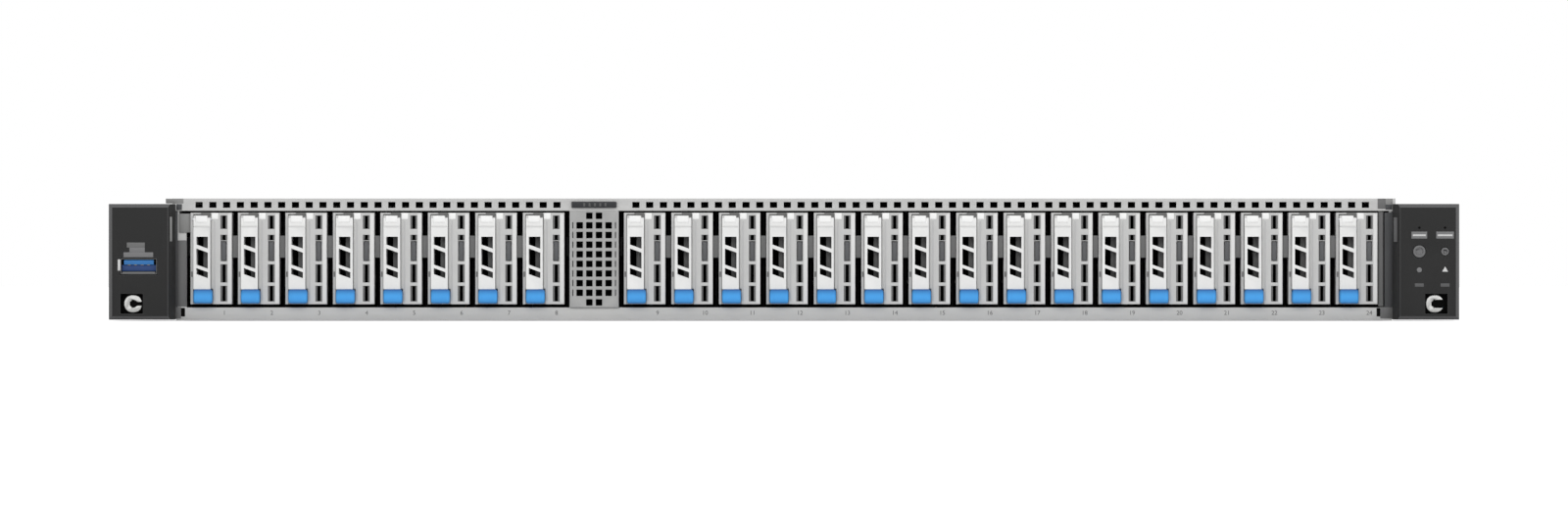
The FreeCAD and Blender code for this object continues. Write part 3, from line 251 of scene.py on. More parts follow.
@dataclass(frozen=True)
class SheetSteel:
    """Zinc-plated sheet with faint spangle, rolling grain and handling marks."""

    name: str
    colour: Colour
    metallic: float = 0.35
    roughness: float = 0.48
    grain: Axis = Axis.X
    spangle: float = 0.05
    gloss: float = 0.25

    def material(self) -> bpy.types.Material:
        """Build the material."""
        graph = Graph(self.name)
        graph.drive("Specular IOR Level", self.gloss)
        stretch = [260.0, 260.0, 260.0]
        stretch[self.grain.value] = 8.0
        rolled = graph.noise(1.0, tuple(stretch), 3.0)
        spangle = graph.cells(140.0)
        marks = graph.noise(14.0, (1, 1, 1), 4.0)
        tone = spangle * self.spangle + rolled * 0.10 + marks * 0.12
        graph.tint(tone * 3.6, self.colour, 0.86, 1.10)
        graph.drive("Metallic", self.metallic)
        graph.drive("Roughness", self.roughness - 0.08 + marks * 0.14 + spangle * 0.05)
        graph.bump(rolled, 0.12, 0.00006)
        return graph.material


@dataclass(frozen=True)
class Moulding:
    """Injection-moulded plastic with a spark-eroded grain and slight sheen changes."""

    name: str
    colour: Colour
    roughness: float = 0.5
    grain: float = 0.25
    scale: float = 2600.0
    gloss: float = 0.5

    def material(self) -> bpy.types.Material:
        """Build the material."""
        graph = Graph(self.name)
        graph.drive("Specular IOR Level", self.gloss)
        grain = graph.noise(self.scale, (1, 1, 1), 1.0)
        flow = graph.noise(38.0, (1, 1, 0.4), 3.0)
        rubbed = graph.noise(9.0, (1, 1, 1), 5.0)
        graph.tint(flow * 0.6 + grain * 0.3, self.colour, 0.92, 1.08)
        graph.drive("Roughness", self.roughness - 0.07 + rubbed * 0.14)
        graph.bump(grain, self.grain, 0.00005)
        return graph.material


@dataclass(frozen=True)
class TouchPoint:
    """Blue moulding with painted light: a painted highlight across its middle and painted shade towards its
    upper and lower edge.
    """

    name: str
    colour: Colour
    shade: Colour
    middle: float
    reach: float

    def material(self) -> bpy.types.Material:
        """Build the material."""
        graph = Graph(self.name)
        # Painted light: the colour runs from the painted highlight at the middle height to the painted shade
        # colour at the upper and lower edge.
        away = (graph.coordinate(Axis.Z) - self.middle) * (1 / self.reach)
        grain = graph.noise(2200.0, (1, 1, 1), 1.0)
        flow = graph.noise(60.0, (1, 1, 1), 2.0)
        body = graph.mix(flow, lighter(self.colour, 0.95), lighter(self.colour, 1.05))
        graph.drive("Base Color", graph.mix(away * away, body, self.shade))
        graph.drive("Roughness", 0.38 + flow * 0.12)
        graph.bump(grain, 0.2, 0.00004)
        return graph.material


@dataclass(frozen=True)
class Machined:
    """Aluminium or plated metal with fine brushed lines along one axis."""

    name: str
    colour: Colour
    roughness: float = 0.32
    metallic: float = 0.9
    grain: Axis = Axis.Y

    def material(self) -> bpy.types.Material:
        """Build the material."""
        graph = Graph(self.name)
        stretch = [900.0, 900.0, 900.0]
        stretch[self.grain.value] = 14.0
        lines = graph.noise(1.0, tuple(stretch), 2.0)
        haze = graph.noise(22.0, (1, 1, 1), 4.0)
        graph.tint(lines * 0.7 + haze * 0.3, self.colour, 0.84, 1.1)
        graph.drive("Metallic", self.metallic)
        graph.drive("Roughness", self.roughness - 0.06 + lines * 0.1 + haze * 0.06)
        graph.bump(lines, 0.15, 0.00004)
        return graph.material


@dataclass(frozen=True)
class Laminate:
    """Circuit board with tracks and tinned points under solder mask."""

    name: str
    colour: Colour

    def material(self) -> bpy.types.Material:
        """Build the material."""
        graph = Graph(self.name)
        tracks = graph.distance(190.0, "DISTANCE_TO_EDGE").under(0.07)
        tinned = graph.distance(420.0, "F1").under(0.16) * graph.noise(60.0).over(0.52)
        flow = graph.noise(25.0, (1, 1, 1), 3.0)
        mask = graph.mix(tracks * 0.6 + flow * 0.25, self.colour, lighter(self.colour, 1.9))
        graph.drive("Base Color", graph.mix(tinned, mask, srgb(176, 168, 130)))
        graph.drive("Metallic", tinned * 0.8)
        graph.drive("Roughness", 0.34 + flow * 0.12)
        graph.bump(tracks + tinned, 0.25, 0.00005)
        return graph.material


@dataclass(frozen=True)
class Contacts:
    """Gold contact fingers across a board edge, on dark laminate."""

    name: str
    axis: Axis = Axis.Z
    pitch: float = 0.0008

    def material(self) -> bpy.types.Material:
        """Build the material."""
        graph = Graph(self.name)
        row = graph.coordinate(self.axis) * (1 / self.pitch)
        finger = graph.value("ShaderNodeMath", {"operation": "FRACT"}, {0: row}).over(0.38)
        worn = graph.noise(400.0, (1, 1, 1), 3.0)
        graph.drive("Base Color", graph.mix(finger, srgb(26, 70, 44), srgb(214, 174, 92)))
        graph.drive("Metallic", finger)
        graph.drive("Roughness", 0.26 + worn * 0.2)
        graph.bump(finger, 0.3, 0.00004)
        return graph.material


@dataclass(frozen=True)
class Lamp:
    """Translucent light pipe with a faint glow."""

    name: str
    colour: Colour
    glow: float = 0.0

    def material(self) -> bpy.types.Material:
        """Build the material."""
        graph = Graph(self.name)
        cloud = graph.noise(900.0, (1, 1, 1), 2.0)
        graph.tint(cloud, self.colour, 0.85, 1.1)
        graph.drive("Roughness", 0.2 + cloud * 0.15)
        graph.drive("Emission Color", self.colour)
        graph.drive("Emission Strength", self.glow)
        return graph.material


class Finishes:
    """Every finish of the server, each built once on first use."""

    sheet = SheetSteel("zinc_sheet", srgb(176, 176, 175), metallic=0.3, roughness=0.52)
    strip = SheetSteel("zinc_strip", srgb(196, 196, 195))
    rear_sheet = SheetSteel("zinc_rear", srgb(166, 166, 166), grain=Axis.Z)
    grille = SheetSteel("zinc_grille", srgb(172, 172, 171), grain=Axis.Z)
    carrier = Moulding("carrier_grey", srgb(192, 192, 191), roughness=0.5)
    # Painted highlight: a lighter copy of the carrier grey for the bright rim at the carrier's right edge.
    carrier_edge = Moulding("carrier_edge", srgb(216, 216, 215), roughness=0.4)
    lever = Moulding("lever_white", srgb(226, 226, 225), roughness=0.4, grain=0.15)
    # Painted shade: a darker copy of the lever white for the line along the lever's step.
    lever_step = Moulding("lever_step", srgb(206, 206, 205), roughness=0.45, grain=0.15)
    # Painted highlight: a brighter copy of the lever white for the top-lit hinge block and the corner beside
    # the lever.
    lever_bright = Moulding("lever_bright", srgb(240, 240, 239), roughness=0.35, grain=0.1)
    tab = TouchPoint("tab_blue", srgb(66, 158, 228), srgb(34, 96, 160), 8.2 * MM, 2.6 * MM)
    ear = Moulding("ear_charcoal", srgb(38, 38, 38), roughness=0.62, grain=0.4, gloss=0.28)
    # Painted highlight: paler grey for the ear's lit bevel band and slope rib; also the colour of the small
    # signs under the buttons.
    ear_edge = Moulding("ear_edge", srgb(84, 84, 85), roughness=0.5, grain=0.3, gloss=0.4)
    ear_mark = Moulding("ear_mark", srgb(112, 112, 113), roughness=0.5)
    ear_light = Lamp("ear_light", srgb(196, 196, 196), 0.05)
    # Painted shade: near-black that fills holes, slots, recesses and gaps lying in shadow; cutters carry it
    # too.
    void = Moulding("painted_shadow_black", srgb(7, 7, 7), roughness=0.85, gloss=0.1)
    smoke = Moulding("window_smoke", srgb(84, 85, 87), roughness=0.35)
    shade = Moulding("window_wall", srgb(84, 84, 84), roughness=0.6)
    slot_step = Moulding("slot_step", srgb(104, 104, 104), roughness=0.6, gloss=0.3)
    # Painted shade: dark grey for the shaded notch at the top of the lever and the gap beside its hinge
    # block.
    hook_grey = Moulding("hook_grey", srgb(104, 104, 103), roughness=0.55, gloss=0.3)
    # Painted shadow: a darker copy of the carrier grey for the shadow line the lever casts to its right.
    flute = Moulding("carrier_lever_shadow", srgb(178, 178, 178), roughness=0.5)
    button = Moulding("button_grey", srgb(104, 104, 105), roughness=0.45)
    gold = Machined("gold", srgb(216, 178, 96), roughness=0.25)
    divider = SheetSteel("divider_sheet", srgb(112, 112, 112), grain=Axis.Z)
    guide_grey = SheetSteel("guide_grey", srgb(142, 142, 141), grain=Axis.Z)
    # Painted shade: near-black for the front of the bay dividers, where the gaps between drives lie in
    # shadow.
    divider_edge = Moulding("divider_edge", srgb(14, 14, 14), roughness=0.7, gloss=0.15)
    case = Machined("drive_aluminium", srgb(168, 170, 173), roughness=0.38, metallic=0.75)
    screw = Machined("nickel", srgb(222, 222, 220), roughness=0.22, metallic=0.85, grain=Axis.Z)
    steel = Machined("bright_steel", srgb(200, 201, 204), roughness=0.28, metallic=0.85)
    usb = Moulding("socket_blue", srgb(52, 112, 172), roughness=0.4, grain=0.1, gloss=0.3)
    usb_shell = Machined("socket_shell", srgb(92, 92, 93), roughness=0.5, metallic=0.4)
    usb_dark = Moulding("socket_deep_blue", srgb(34, 62, 112), roughness=0.5, grain=0.1)
    board = Laminate("board_green", srgb(20, 66, 40))
    stick = Laminate("module_green", srgb(24, 78, 46))
    chip = Moulding("chip_black", srgb(24, 24, 26), roughness=0.42, grain=0.2)
    socket = Moulding("socket_black", srgb(22, 22, 24), roughness=0.5)
    latch_white = Moulding("latch_white", srgb(222, 222, 214), roughness=0.45)
    fan = Moulding("fan_black", srgb(22, 22, 23), roughness=0.45, grain=0.2)
    rotor = Moulding("rotor_black", srgb(30, 30, 32), roughness=0.35, grain=0.15)
    sink = Machined("sink_aluminium", srgb(196, 199, 203), roughness=0.3)
    contact = Contacts("gold_fingers")
    supply = SheetSteel("supply_sheet", srgb(150, 151, 154), metallic=0.6, grain=Axis.Y)
    supply_face = SheetSteel("supply_face", srgb(58, 59, 61), metallic=0.2, roughness=0.5, grain=Axis.Z)
    handle = Moulding("handle_grey", srgb(64, 65, 67), roughness=0.45)
    blue_point = Moulding("latch_blue", srgb(38, 104, 176), roughness=0.4, grain=0.2)
    bracket = SheetSteel("bracket_sheet", srgb(96, 97, 99), metallic=0.5, grain=Axis.Z)
    tag = Moulding("tag_black", srgb(34, 35, 38), roughness=0.4)
    print_grey = Moulding("print_grey", srgb(104, 104, 104), roughness=0.6, grain=0.1)
    cell = Machined("cell_steel", srgb(206, 206, 204), roughness=0.25, metallic=0.9, grain=Axis.X)
    green_lamp = Lamp("lamp_green", srgb(96, 200, 110), 0.4)
    _made: dict[str, bpy.types.Material] = {}

    @classmethod
    def get(cls, name: str) -> bpy.types.Material:
        """Return the material of a finish by its name."""
        if name not in cls._made:
            cls._made[name] = getattr(cls, name).material()
        return cls._made[name]


# ------------------------------------------------------------------ bench tools


class Bench:
    """Modelling steps as done by hand: primitives, edit-mode operators and applied modifiers."""

    @staticmethod
    def take(*pieces: bpy.types.Object) -> None:
        """Select only these pieces; the first one is active."""
        bpy.ops.object.select_all(action="DESELECT")
        for piece in pieces:
            piece.select_set(True)
        bpy.context.view_layer.objects.active = pieces[0]

    @staticmethod
    def settle(piece: bpy.types.Object) -> None:
        """Move an object's place, turn and size into its mesh."""
        Bench.take(piece)
        bpy.ops.object.transform_apply(location=True, rotation=True, scale=True)

    @staticmethod
    def dress(piece: bpy.types.Object, finish: str) -> bpy.types.Object:
        """Give the whole piece one finish."""
        piece.data.materials.clear()
        piece.data.materials.append(Finishes.get(finish))
        for face in piece.data.polygons:
            face.material_index = 0
        return piece

    @staticmethod
    def smooth(piece: bpy.types.Object, degrees: float = 35.0) -> None:
        """Shade curved faces smooth and leave the edges sharp."""
        Bench.take(piece)
        bpy.ops.object.shade_smooth_by_angle(angle=math.radians(degrees))

    @staticmethod
    def block(
        name: str, low: Sequence[float], high: Sequence[float], finish: str,
        bevel: float = 0.0, segments: int = 2,
    ) -> bpy.types.Object:
        """Make a block between two corners with rounded edges.

        Args:
            name: The piece's name.
            low: Lowest corner.
            high: Highest corner.
            finish: Name of the finish.
            bevel: Edge radius, or 0 for sharp edges.
            segments: Faces across each edge.

        Returns:
            The piece.
        """
        low, high = Vector(low), Vector(high)
        bpy.ops.object.select_all(action="DESELECT")
        bpy.ops.mesh.primitive_cube_add(size=1.0, location=(low + high) / 2)
        piece = bpy.context.object
        piece.name = name
        piece.scale = high - low
        Bench.settle(piece)
        if bevel > 0:
            bpy.ops.object.mode_set(mode="EDIT")
            bpy.ops.mesh.select_all(action="SELECT")
            bpy.ops.mesh.bevel(offset=bevel, segments=segments, affect="EDGES", clamp_overlap=True)
            bpy.ops.object.mode_set(mode="OBJECT")
            Bench.smooth(piece)
        return Bench.dress(piece, finish)

    @staticmethod
    def disc(
        name: str, centre: Sequence[float], axis: Axis, radius: float, depth: float, finish: str,
        bevel: float = 0.0, sides: int = 32,
    ) -> bpy.types.Object:
        """Make a round piece centred on a point, with a broken rim.

        Args:
            name: The piece's name.
            centre: Middle of the piece.
            axis: Its axis.
            radius: Its radius.
            depth: Its length along the axis.
            finish: Name of the finish.
            bevel: Rim radius.
            sides: Number of sides.

        Returns:
            The piece.
        """
        turn = {Axis.X: (0, math.pi / 2, 0), Axis.Y: (math.pi / 2, 0, 0), Axis.Z: (0, 0, 0)}[axis]
        bpy.ops.object.select_all(action="DESELECT")
        bpy.ops.mesh.primitive_cylinder_add(
            vertices=sides, radius=radius, depth=depth, location=centre, rotation=turn
        )
        piece = bpy.context.object
        piece.name = name
        Bench.settle(piece)
        if bevel > 0:
            Bench.break_edges(piece, bevel, 2)
        Bench.smooth(piece)
        return Bench.dress(piece, finish)

    @staticmethod
    def rivet(name: str, centre: Sequence[float]) -> bpy.types.Object:
        """Make a low rivet head in the top of a cover."""
        return Bench.disc(name, centre, Axis.Z, 2.4 * MM, 0.5 * MM, "steel", 0.2 * MM, 24)

    @staticmethod
    def break_edges(piece: bpy.types.Object, width: float, segments: int, degrees: float = 40.0) -> None:
        """Bevel every edge sharper than an angle."""
        Bench.take(piece)
        bevel = piece.modifiers.new("edges", "BEVEL")
        bevel.width = width
        bevel.segments = segments
        bevel.limit_method = "ANGLE"
        bevel.angle_limit = math.radians(degrees)
        bevel.use_clamp_overlap = True
        bpy.ops.object.modifier_apply(modifier=bevel.name)

    @staticmethod
    def cut(piece: bpy.types.Object, cutter: bpy.types.Object) -> bpy.types.Object:
        """Take a cutter's shape out of a piece and delete the cutter."""
        Bench.take(piece)
        boolean = piece.modifiers.new("cut", "BOOLEAN")
        boolean.operation = "DIFFERENCE"
        boolean.solver = "EXACT"
        boolean.object = cutter
        bpy.ops.object.modifier_apply(modifier=boolean.name)
        bpy.data.objects.remove(cutter)
        return piece

    @staticmethod
    def slant(piece: bpy.types.Object, drop: float, upper: bool) -> bpy.types.Object:
        """Lower a block's right side, with or without its upper edge, so that it becomes a slanted bar."""
        low, high = Bench.box_of(piece)
        Bench.take(piece)
        bpy.ops.object.mode_set(mode="EDIT")
        bpy.ops.mesh.select_mode(type="VERT")
        bpy.ops.mesh.select_all(action="DESELECT")
        bpy.ops.object.mode_set(mode="OBJECT")
        for vertex in piece.data.vertices:
            at_right = vertex.co.x > (low.x + high.x) / 2
            vertex.select = at_right and (upper or vertex.co.z < (low.z + high.z) / 2)
        bpy.ops.object.mode_set(mode="EDIT")
        bpy.ops.transform.translate(value=(0, 0, -drop))
        bpy.ops.object.mode_set(mode="OBJECT")
        return piece

    @staticmethod
    def fill(piece: bpy.types.Object, filler: bpy.types.Object) -> bpy.types.Object:
        """Add a filler's shape to a piece and merge the flush faces."""
        Bench.take(piece)
        boolean = piece.modifiers.new("fill", "BOOLEAN")
        boolean.operation = "UNION"
        boolean.solver = "EXACT"
        boolean.object = filler
        bpy.ops.object.modifier_apply(modifier=boolean.name)
        bpy.data.objects.remove(filler)
        bpy.ops.object.mode_set(mode="EDIT")
        bpy.ops.mesh.select_all(action="SELECT")
        bpy.ops.mesh.dissolve_limited(angle_limit=math.radians(0.6))
        bpy.ops.object.mode_set(mode="OBJECT")
        return piece

    @staticmethod
    def join(name: str, pieces: Iterable[bpy.types.Object]) -> bpy.types.Object:
        """Join pieces into one object that keeps each one's finish."""
        pieces = list(pieces)
        Bench.take(*pieces)
        if len(pieces) > 1:
            bpy.ops.object.join()
        piece = bpy.context.object
        piece.name = name
        piece.data.name = name
        return piece

    @staticmethod
    def copy(piece: bpy.types.Object, name: str, offset: Sequence[float]) -> bpy.types.Object:
        """Copy a piece with its own mesh, moved by an offset."""
        Bench.take(piece)
        bpy.ops.object.duplicate(linked=False)
        twin = bpy.context.object
        twin.name = name
        twin.data.name = name
        twin.location = offset
        Bench.settle(twin)
        return twin

    @staticmethod
    def raw_copy(node: str, name: str) -> bpy.types.Object:
        """Copy a construction node and merge its loose triangles into closed shells."""
        piece = bpy.data.objects.new(name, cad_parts[node].data.copy())
        bpy.context.scene.collection.objects.link(piece)
        Bench.take(piece)
        if piece.data.has_custom_normals:
            bpy.ops.mesh.customdata_custom_splitnormals_clear()
        bpy.ops.object.mode_set(mode="EDIT")
        bpy.ops.mesh.select_all(action="SELECT")
        bpy.ops.mesh.remove_doubles(threshold=2e-6)
        bpy.ops.mesh.dissolve_limited(angle_limit=math.radians(0.6))
        bpy.ops.object.mode_set(mode="OBJECT")
        return piece

    @staticmethod
    def refine(piece: bpy.types.Object, bevel: float, segments: int = 2) -> bpy.types.Object:
        """Break a piece's edges and shade its curves smooth."""
        if bevel > 0:
            Bench.break_edges(piece, bevel, segments)
        Bench.smooth(piece)
        return piece

    @staticmethod
    def node_copy(node: str, name: str, finish: str, bevel: float, segments: int = 2) -> bpy.types.Object:
        """Copy a construction node, merge its triangles and break its edges.

        Args:
            node: Name of the node.
            name: Name of the piece.
            finish: Name of the finish.
            bevel: Edge radius.
            segments: Faces across each edge.

        Returns:
            The piece, which doesn't ride on a body yet.
        """
        return Bench.dress(Bench.refine(Bench.raw_copy(node, name), bevel, segments), finish)

    @staticmethod
    def split_at(piece: bpy.types.Object, height: float) -> tuple[bpy.types.Object, bpy.types.Object]:
        """Separate the faces under a height and return the upper and the lower part."""
        Bench.take(piece)
        bpy.ops.object.mode_set(mode="EDIT")
        bpy.ops.mesh.select_all(action="DESELECT")
        bpy.ops.object.mode_set(mode="OBJECT")
        for face in piece.data.polygons:
            gap = face.center.z - height
            face.select = gap < -1e-5 or (abs(gap) < 1e-5 and face.normal.z > 0.5)
        bpy.ops.object.mode_set(mode="EDIT")
        bpy.ops.mesh.separate(type="SELECTED")
        bpy.ops.object.mode_set(mode="OBJECT")
        lower = next(part for part in bpy.context.selected_objects if part != piece)
        return piece, lower

    @staticmethod
    def paint(
        piece: bpy.types.Object, finish: str, wanted: Callable[[Vector, Vector], bool]
    ) -> bpy.types.Object:
        """Give a finish to the faces that a test picks by their middle and normal."""
        piece.data.materials.append(Finishes.get(finish))
        slot = len(piece.data.materials) - 1
        for face in piece.data.polygons:
            if wanted(face.center, face.normal):
                face.material_index = slot
        return piece

    @staticmethod
    def keep_under(pieces: Iterable[bpy.types.Object], height: float) -> None:
        """Lower pieces that would stand above a height."""
        for piece in pieces:
            over = Bench.box_of(piece)[1].z - height
            if over > 1e-6:
                piece.location.z = -over
                Bench.settle(piece)

    @staticmethod
    def loose_parts(piece: bpy.types.Object) -> list[bpy.types.Object]:
        """Separate a piece into its solids."""
        Bench.take(piece)
        bpy.ops.object.mode_set(mode="EDIT")
        bpy.ops.mesh.select_all(action="SELECT")
        bpy.ops.mesh.separate(type="LOOSE")
        bpy.ops.object.mode_set(mode="OBJECT")
        return list(bpy.context.selected_objects)

    @staticmethod
    def box_of(piece: bpy.types.Object) -> tuple[Vector, Vector]:
        """Return the lowest and highest corner of a piece's mesh."""
        points = [vertex.co for vertex in piece.data.vertices]
        low = Vector([min(point[axis] for point in points) for axis in range(3)])
        high = Vector([max(point[axis] for point in points) for axis in range(3)])
        return low, high

    @staticmethod
    def number(
        name: str, text: str, centre: Sequence[float], size: float, finish: str, thickness: float = 0.00006
    ) -> bpy.types.Object:
        """Print a plain number on a face that looks to the front."""
        bpy.ops.object.select_all(action="DESELECT")
        bpy.ops.object.text_add(location=centre, rotation=(math.pi / 2, 0, 0))
        piece = bpy.context.object
        piece.data.body = text
        piece.data.align_x = "CENTER"
        piece.data.align_y = "CENTER"
        piece.data.size = size
        piece.data.extrude = thickness
        piece.data.resolution_u = 3
        bpy.ops.object.convert(target="MESH")
        piece = bpy.context.object
        piece.name = name
        Bench.settle(piece)
        return Bench.dress(piece, finish)

    @staticmethod
    def loose_on_chassis(name: str, pieces: Iterable[bpy.types.Object]) -> None:
        """Join pieces that no node stands for and let them ride on the chassis."""
        piece = Bench.join(name, pieces)
        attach(piece, "chassis")

    @staticmethod
    def finish_node(
        node: str, name: str, body: str, slot: str, pieces: Iterable[bpy.types.Object]
    ) -> bpy.types.Object:
        """Join pieces into one that stands for a node and rides on its body."""
        piece = Bench.join(name, pieces)
        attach(piece, body)
        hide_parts(node)
        LOG.info("%s stands for %s on %s", name, node, body)
        return piece


@dataclass(frozen=True)
class Slab:
    """A block in millimetres from a point of the server, with its finish and edge radius."""

    name: str
    across: tuple[float, float]
    along: tuple[float, float]
    up: tuple[float, float]
    finish: str
    edge: float = 0.0
    segments: int = 2

    def make(self, x: float = 0.0, y: float = 0.0, z: float = 0.0) -> bpy.types.Object:
        """Make the block, measured from a point that is given in metres."""
        low, high = (
            (x + side * MM, y + end * MM, z + level * MM)
            for side, end, level in zip(self.across, self.along, self.up)
        )
        return Bench.block(self.name, low, high, self.finish, self.edge * MM, self.segments)


SlotRule = Callable[[Vector, Vector], str]


def dress_by_place(piece: bpy.types.Object, rule: SlotRule) -> list[bpy.types.Object]:
    """Separate a piece into solids and give each the finish that a rule picks from its box.

    Args:
        piece: A piece of several solids.
        rule: Takes the lowest and highest corner of a solid and returns a finish's name.

    Returns:
        The dressed solids.
    """
    parts = Bench.loose_parts(piece)
    for part in parts:
        Bench.dress(part, rule(*Bench.box_of(part)))
    return parts


# ------------------------------------------------------------------ drives


@dataclass
class DriveBays:
    """Twenty-four drive carriers: one set is refined and copied to every bay.

    Slabs are in millimetres from the middle of a bay, the carrier's face and the underside of the tray.
    """

    master: int = 12
    count: int = 24
    hinged: tuple[int, ...] = (1, 24)
    face: float = -24.5 * MM
    carrier_edge_radius: float = 0.16 * MM
    lever_edge_radius: float = 0.32 * MM
    case_edge_radius: float = 0.3 * MM
    number_height: float = 2.2 * MM
    number_offset: tuple[float, float] = (4.6 * MM, 2.55 * MM)
    case_length_over: float = 50 * MM
    carrier_width_over: float = 10 * MM
    tab_top: float = 11.1 * MM
    hinge_shade_over: float = 35.2 * MM
    neighbour_gap_under: float = 3 * MM
    pin_place: tuple[float, float, float] = (-3.25 * MM, 0.2 * MM, 36.1 * MM)
    case_screw_depths: tuple[float, float] = (14 * MM, 90 * MM)
    case_screw_levels: tuple[float, float] = (8 * MM, 24 * MM)
    window: Slab = Slab("window_cutter", (3.35, 5.65), (-1, 1.4), (21.1, 28.4), "void")
    fittings: tuple[Slab, ...] = (
        Slab("light_pipe", (3.6, 5.4), (0.5, 1.6), (21.3, 28.2), "smoke", 0.3),
        # Painted highlight: this rim is a lighter copy of the carrier grey.
        Slab("rim", (5.95, 7.3), (-0.12, 1.2), (6.1, 38.1), "carrier_edge", 0.12),
        Slab("inner_wall", (-3.0, -1.15), (2.3, 7.5), (15.1, 29.9), "shade", 0.2),
        # Painted shade: this dark grey block stands for the shaded notch above the lever.
        Slab("hook", (-3.6, -0.25), (-0.5, 0.8), (37.4, 38.6), "hook_grey", 0.12),
        # Painted highlight: this block is a brighter copy of the lever white.
        Slab("corner", (0.15, 2.5), (-0.15, 0.6), (36.2, 38.4), "lever_bright", 0.12),
        Slab("flange_mark", (-7.2, -6.6), (-0.03, 0.4), (15.5, 17.4), "print_grey", 0.03),
        # Painted shadow: this darker line to the right of the lever stands for its cast shadow.
        Slab("flute", (0.9, 1.5), (-0.03, 0.3), (7, 35.5), "flute", 0.03),
    )
    slots: tuple[tuple[float, float], ...] = ((6.75, 12.25), (13.55, 19.95), (28.75, 30.65), (32.85, 37.55))
    slot_sides: tuple[tuple[float, float], ...] = ((3.25, 3.95), (5.1, 5.75))
    openings: tuple[float, float] = (-5.25, -1.1)
    opening_levels: tuple[tuple[float, float, bool], ...] = (
        (27.1, 29.9, False), (19.9, 25.7, True), (16.5, 18.7, True),
    )
    bar_drop: float = 1.5 * MM
    lever_fittings: tuple[Slab, ...] = (
        # The hinge block is part of the lever; its brighter white is a painted highlight.
        Slab("hinge_block", (-5.5, -1.3), (-1.4, 0.9), (35.0, 37.4), "lever_bright", 0.3, 3),
        # Painted shade: this darker line stands for the shade along the lever's step.
        Slab("step", (-5.85, -0.65), (-1.55, -1.1), (33.2, 33.8), "lever_step", 0.05),
        # Painted shade: this dark grey block stands for the shaded gap beside the hinge block.
        Slab("hinge_gap_shade", (-1.15, -0.3), (-1.0, 0.7), (35.3, 37.5), "hook_grey", 0.1),
    )
    tab: Slab = Slab("release_tab", (-6.25, 0.5), (-2.5, 1.7), (5.9, 11.05), "tab", 0.85, 4)
    tab_groove: Slab = Slab("grip", (-5.0, -0.7), (-2.9, -2.4), (7.35, 7.65), "tab")
    centre: float = field(init=False)

    def __post_init__(self) -> None:
        """Read the master bay's place from the frame."""
        self.centre = self.bay_centre(self.master)

    @staticmethod
    def node(bay: int) -> str:
        """Return the node name of a bay's drive."""
        return f"drive_{bay:02d}"

    def bay_centre(self, bay: int) -> float:
        """Return the middle of a bay across the rack."""
        low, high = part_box(self.node(bay))
        return (low.x + high.x) / 2

    def make(self, slab: Slab) -> bpy.types.Object:
        """Make a slab in the master bay."""
        return slab.make(self.centre, self.face)

    def split(self) -> dict[str, bpy.types.Object]:
        """Take the master drive apart into carrier, case, edge, lever and tab."""
        whole = Bench.raw_copy(self.node(self.master), "drive_master")
        parts: dict[str, bpy.types.Object] = {}
        for part in Bench.loose_parts(whole):
            low, high = Bench.box_of(part)
            if high.y - low.y > self.case_length_over:
                parts["case"] = part
            elif low.y > 0:
                parts["edge"] = part
            elif high.x - low.x > self.carrier_width_over:
                parts["carrier"] = part
            else:
                parts["lever"] = part
        parts["lever"], tab = Bench.split_at(parts["lever"], self.tab_top)
        bpy.data.objects.remove(tab)
        return parts

    def carrier(self, blank: bpy.types.Object) -> list[bpy.types.Object]:
        """Refine the carrier frame: light window, a rim with a painted highlight, and the dark wall behind
        the lever.
        """
        Bench.cut(blank, self.make(self.window))
        Bench.refine(blank, self.carrier_edge_radius)
        Bench.dress(blank, "carrier")
        steps = [
            self.make(Slab("slot_step", sides, (0.25, 4), levels, "slot_step", 0.06))
            for levels in self.slots
            for sides in self.slot_sides
        ]
        return [blank] + [self.make(slab) for slab in self.fittings] + steps

    def case(self, blank: bpy.types.Object, edge: bpy.types.Object) -> list[bpy.types.Object]:
        """Refine the drive behind the carrier: case, side screws, a near-black plate of painted shade over
        its front wall, and contact edge.
        """
        low, high = Bench.box_of(blank)
        width, length, height = ((high[axis] - low[axis]) / MM for axis in range(3))
        Bench.refine(blank, self.case_edge_radius)
        Bench.dress(blank, "case")
        Bench.dress(edge, "contact")
        # Painted shade: a near-black plate over the front of the case, so that the slots in front of it read
        # dark.
        front_shade_plate = Slab("front_shade_plate", (0.4, width - 0.4), (-0.35, 0.3), (0.4, height - 0.4), "void", 0.1).make(*low)
        heads = [
            self.case_screw(low, depth, level)
            for depth in self.case_screw_depths
            for level in self.case_screw_levels
        ]
        seam = Slab("seam", (-0.02, 0.2), (3, length - 3), (31, 31.4), "shade", 0.02).make(*low)
        return [blank, edge, front_shade_plate, *heads, seam]

    @staticmethod
    def case_screw(corner: Vector, depth: float, level: float) -> bpy.types.Object:
        """Make a slotted screw in the side of the case, measured from the case's low corner."""
        x, y, z = corner.x, corner.y + depth, corner.z + level
        place = (x - 0.05 * MM, y, z)
        head = Bench.disc("case_screw", place, Axis.X, 1.6 * MM, 0.5 * MM, "screw", 0.12 * MM, 20)
        return Bench.cut(head, Slab("slot", (-1, -0.1), (-1.1, 1.1), (-0.2, 0.2), "void").make(x, y, z))

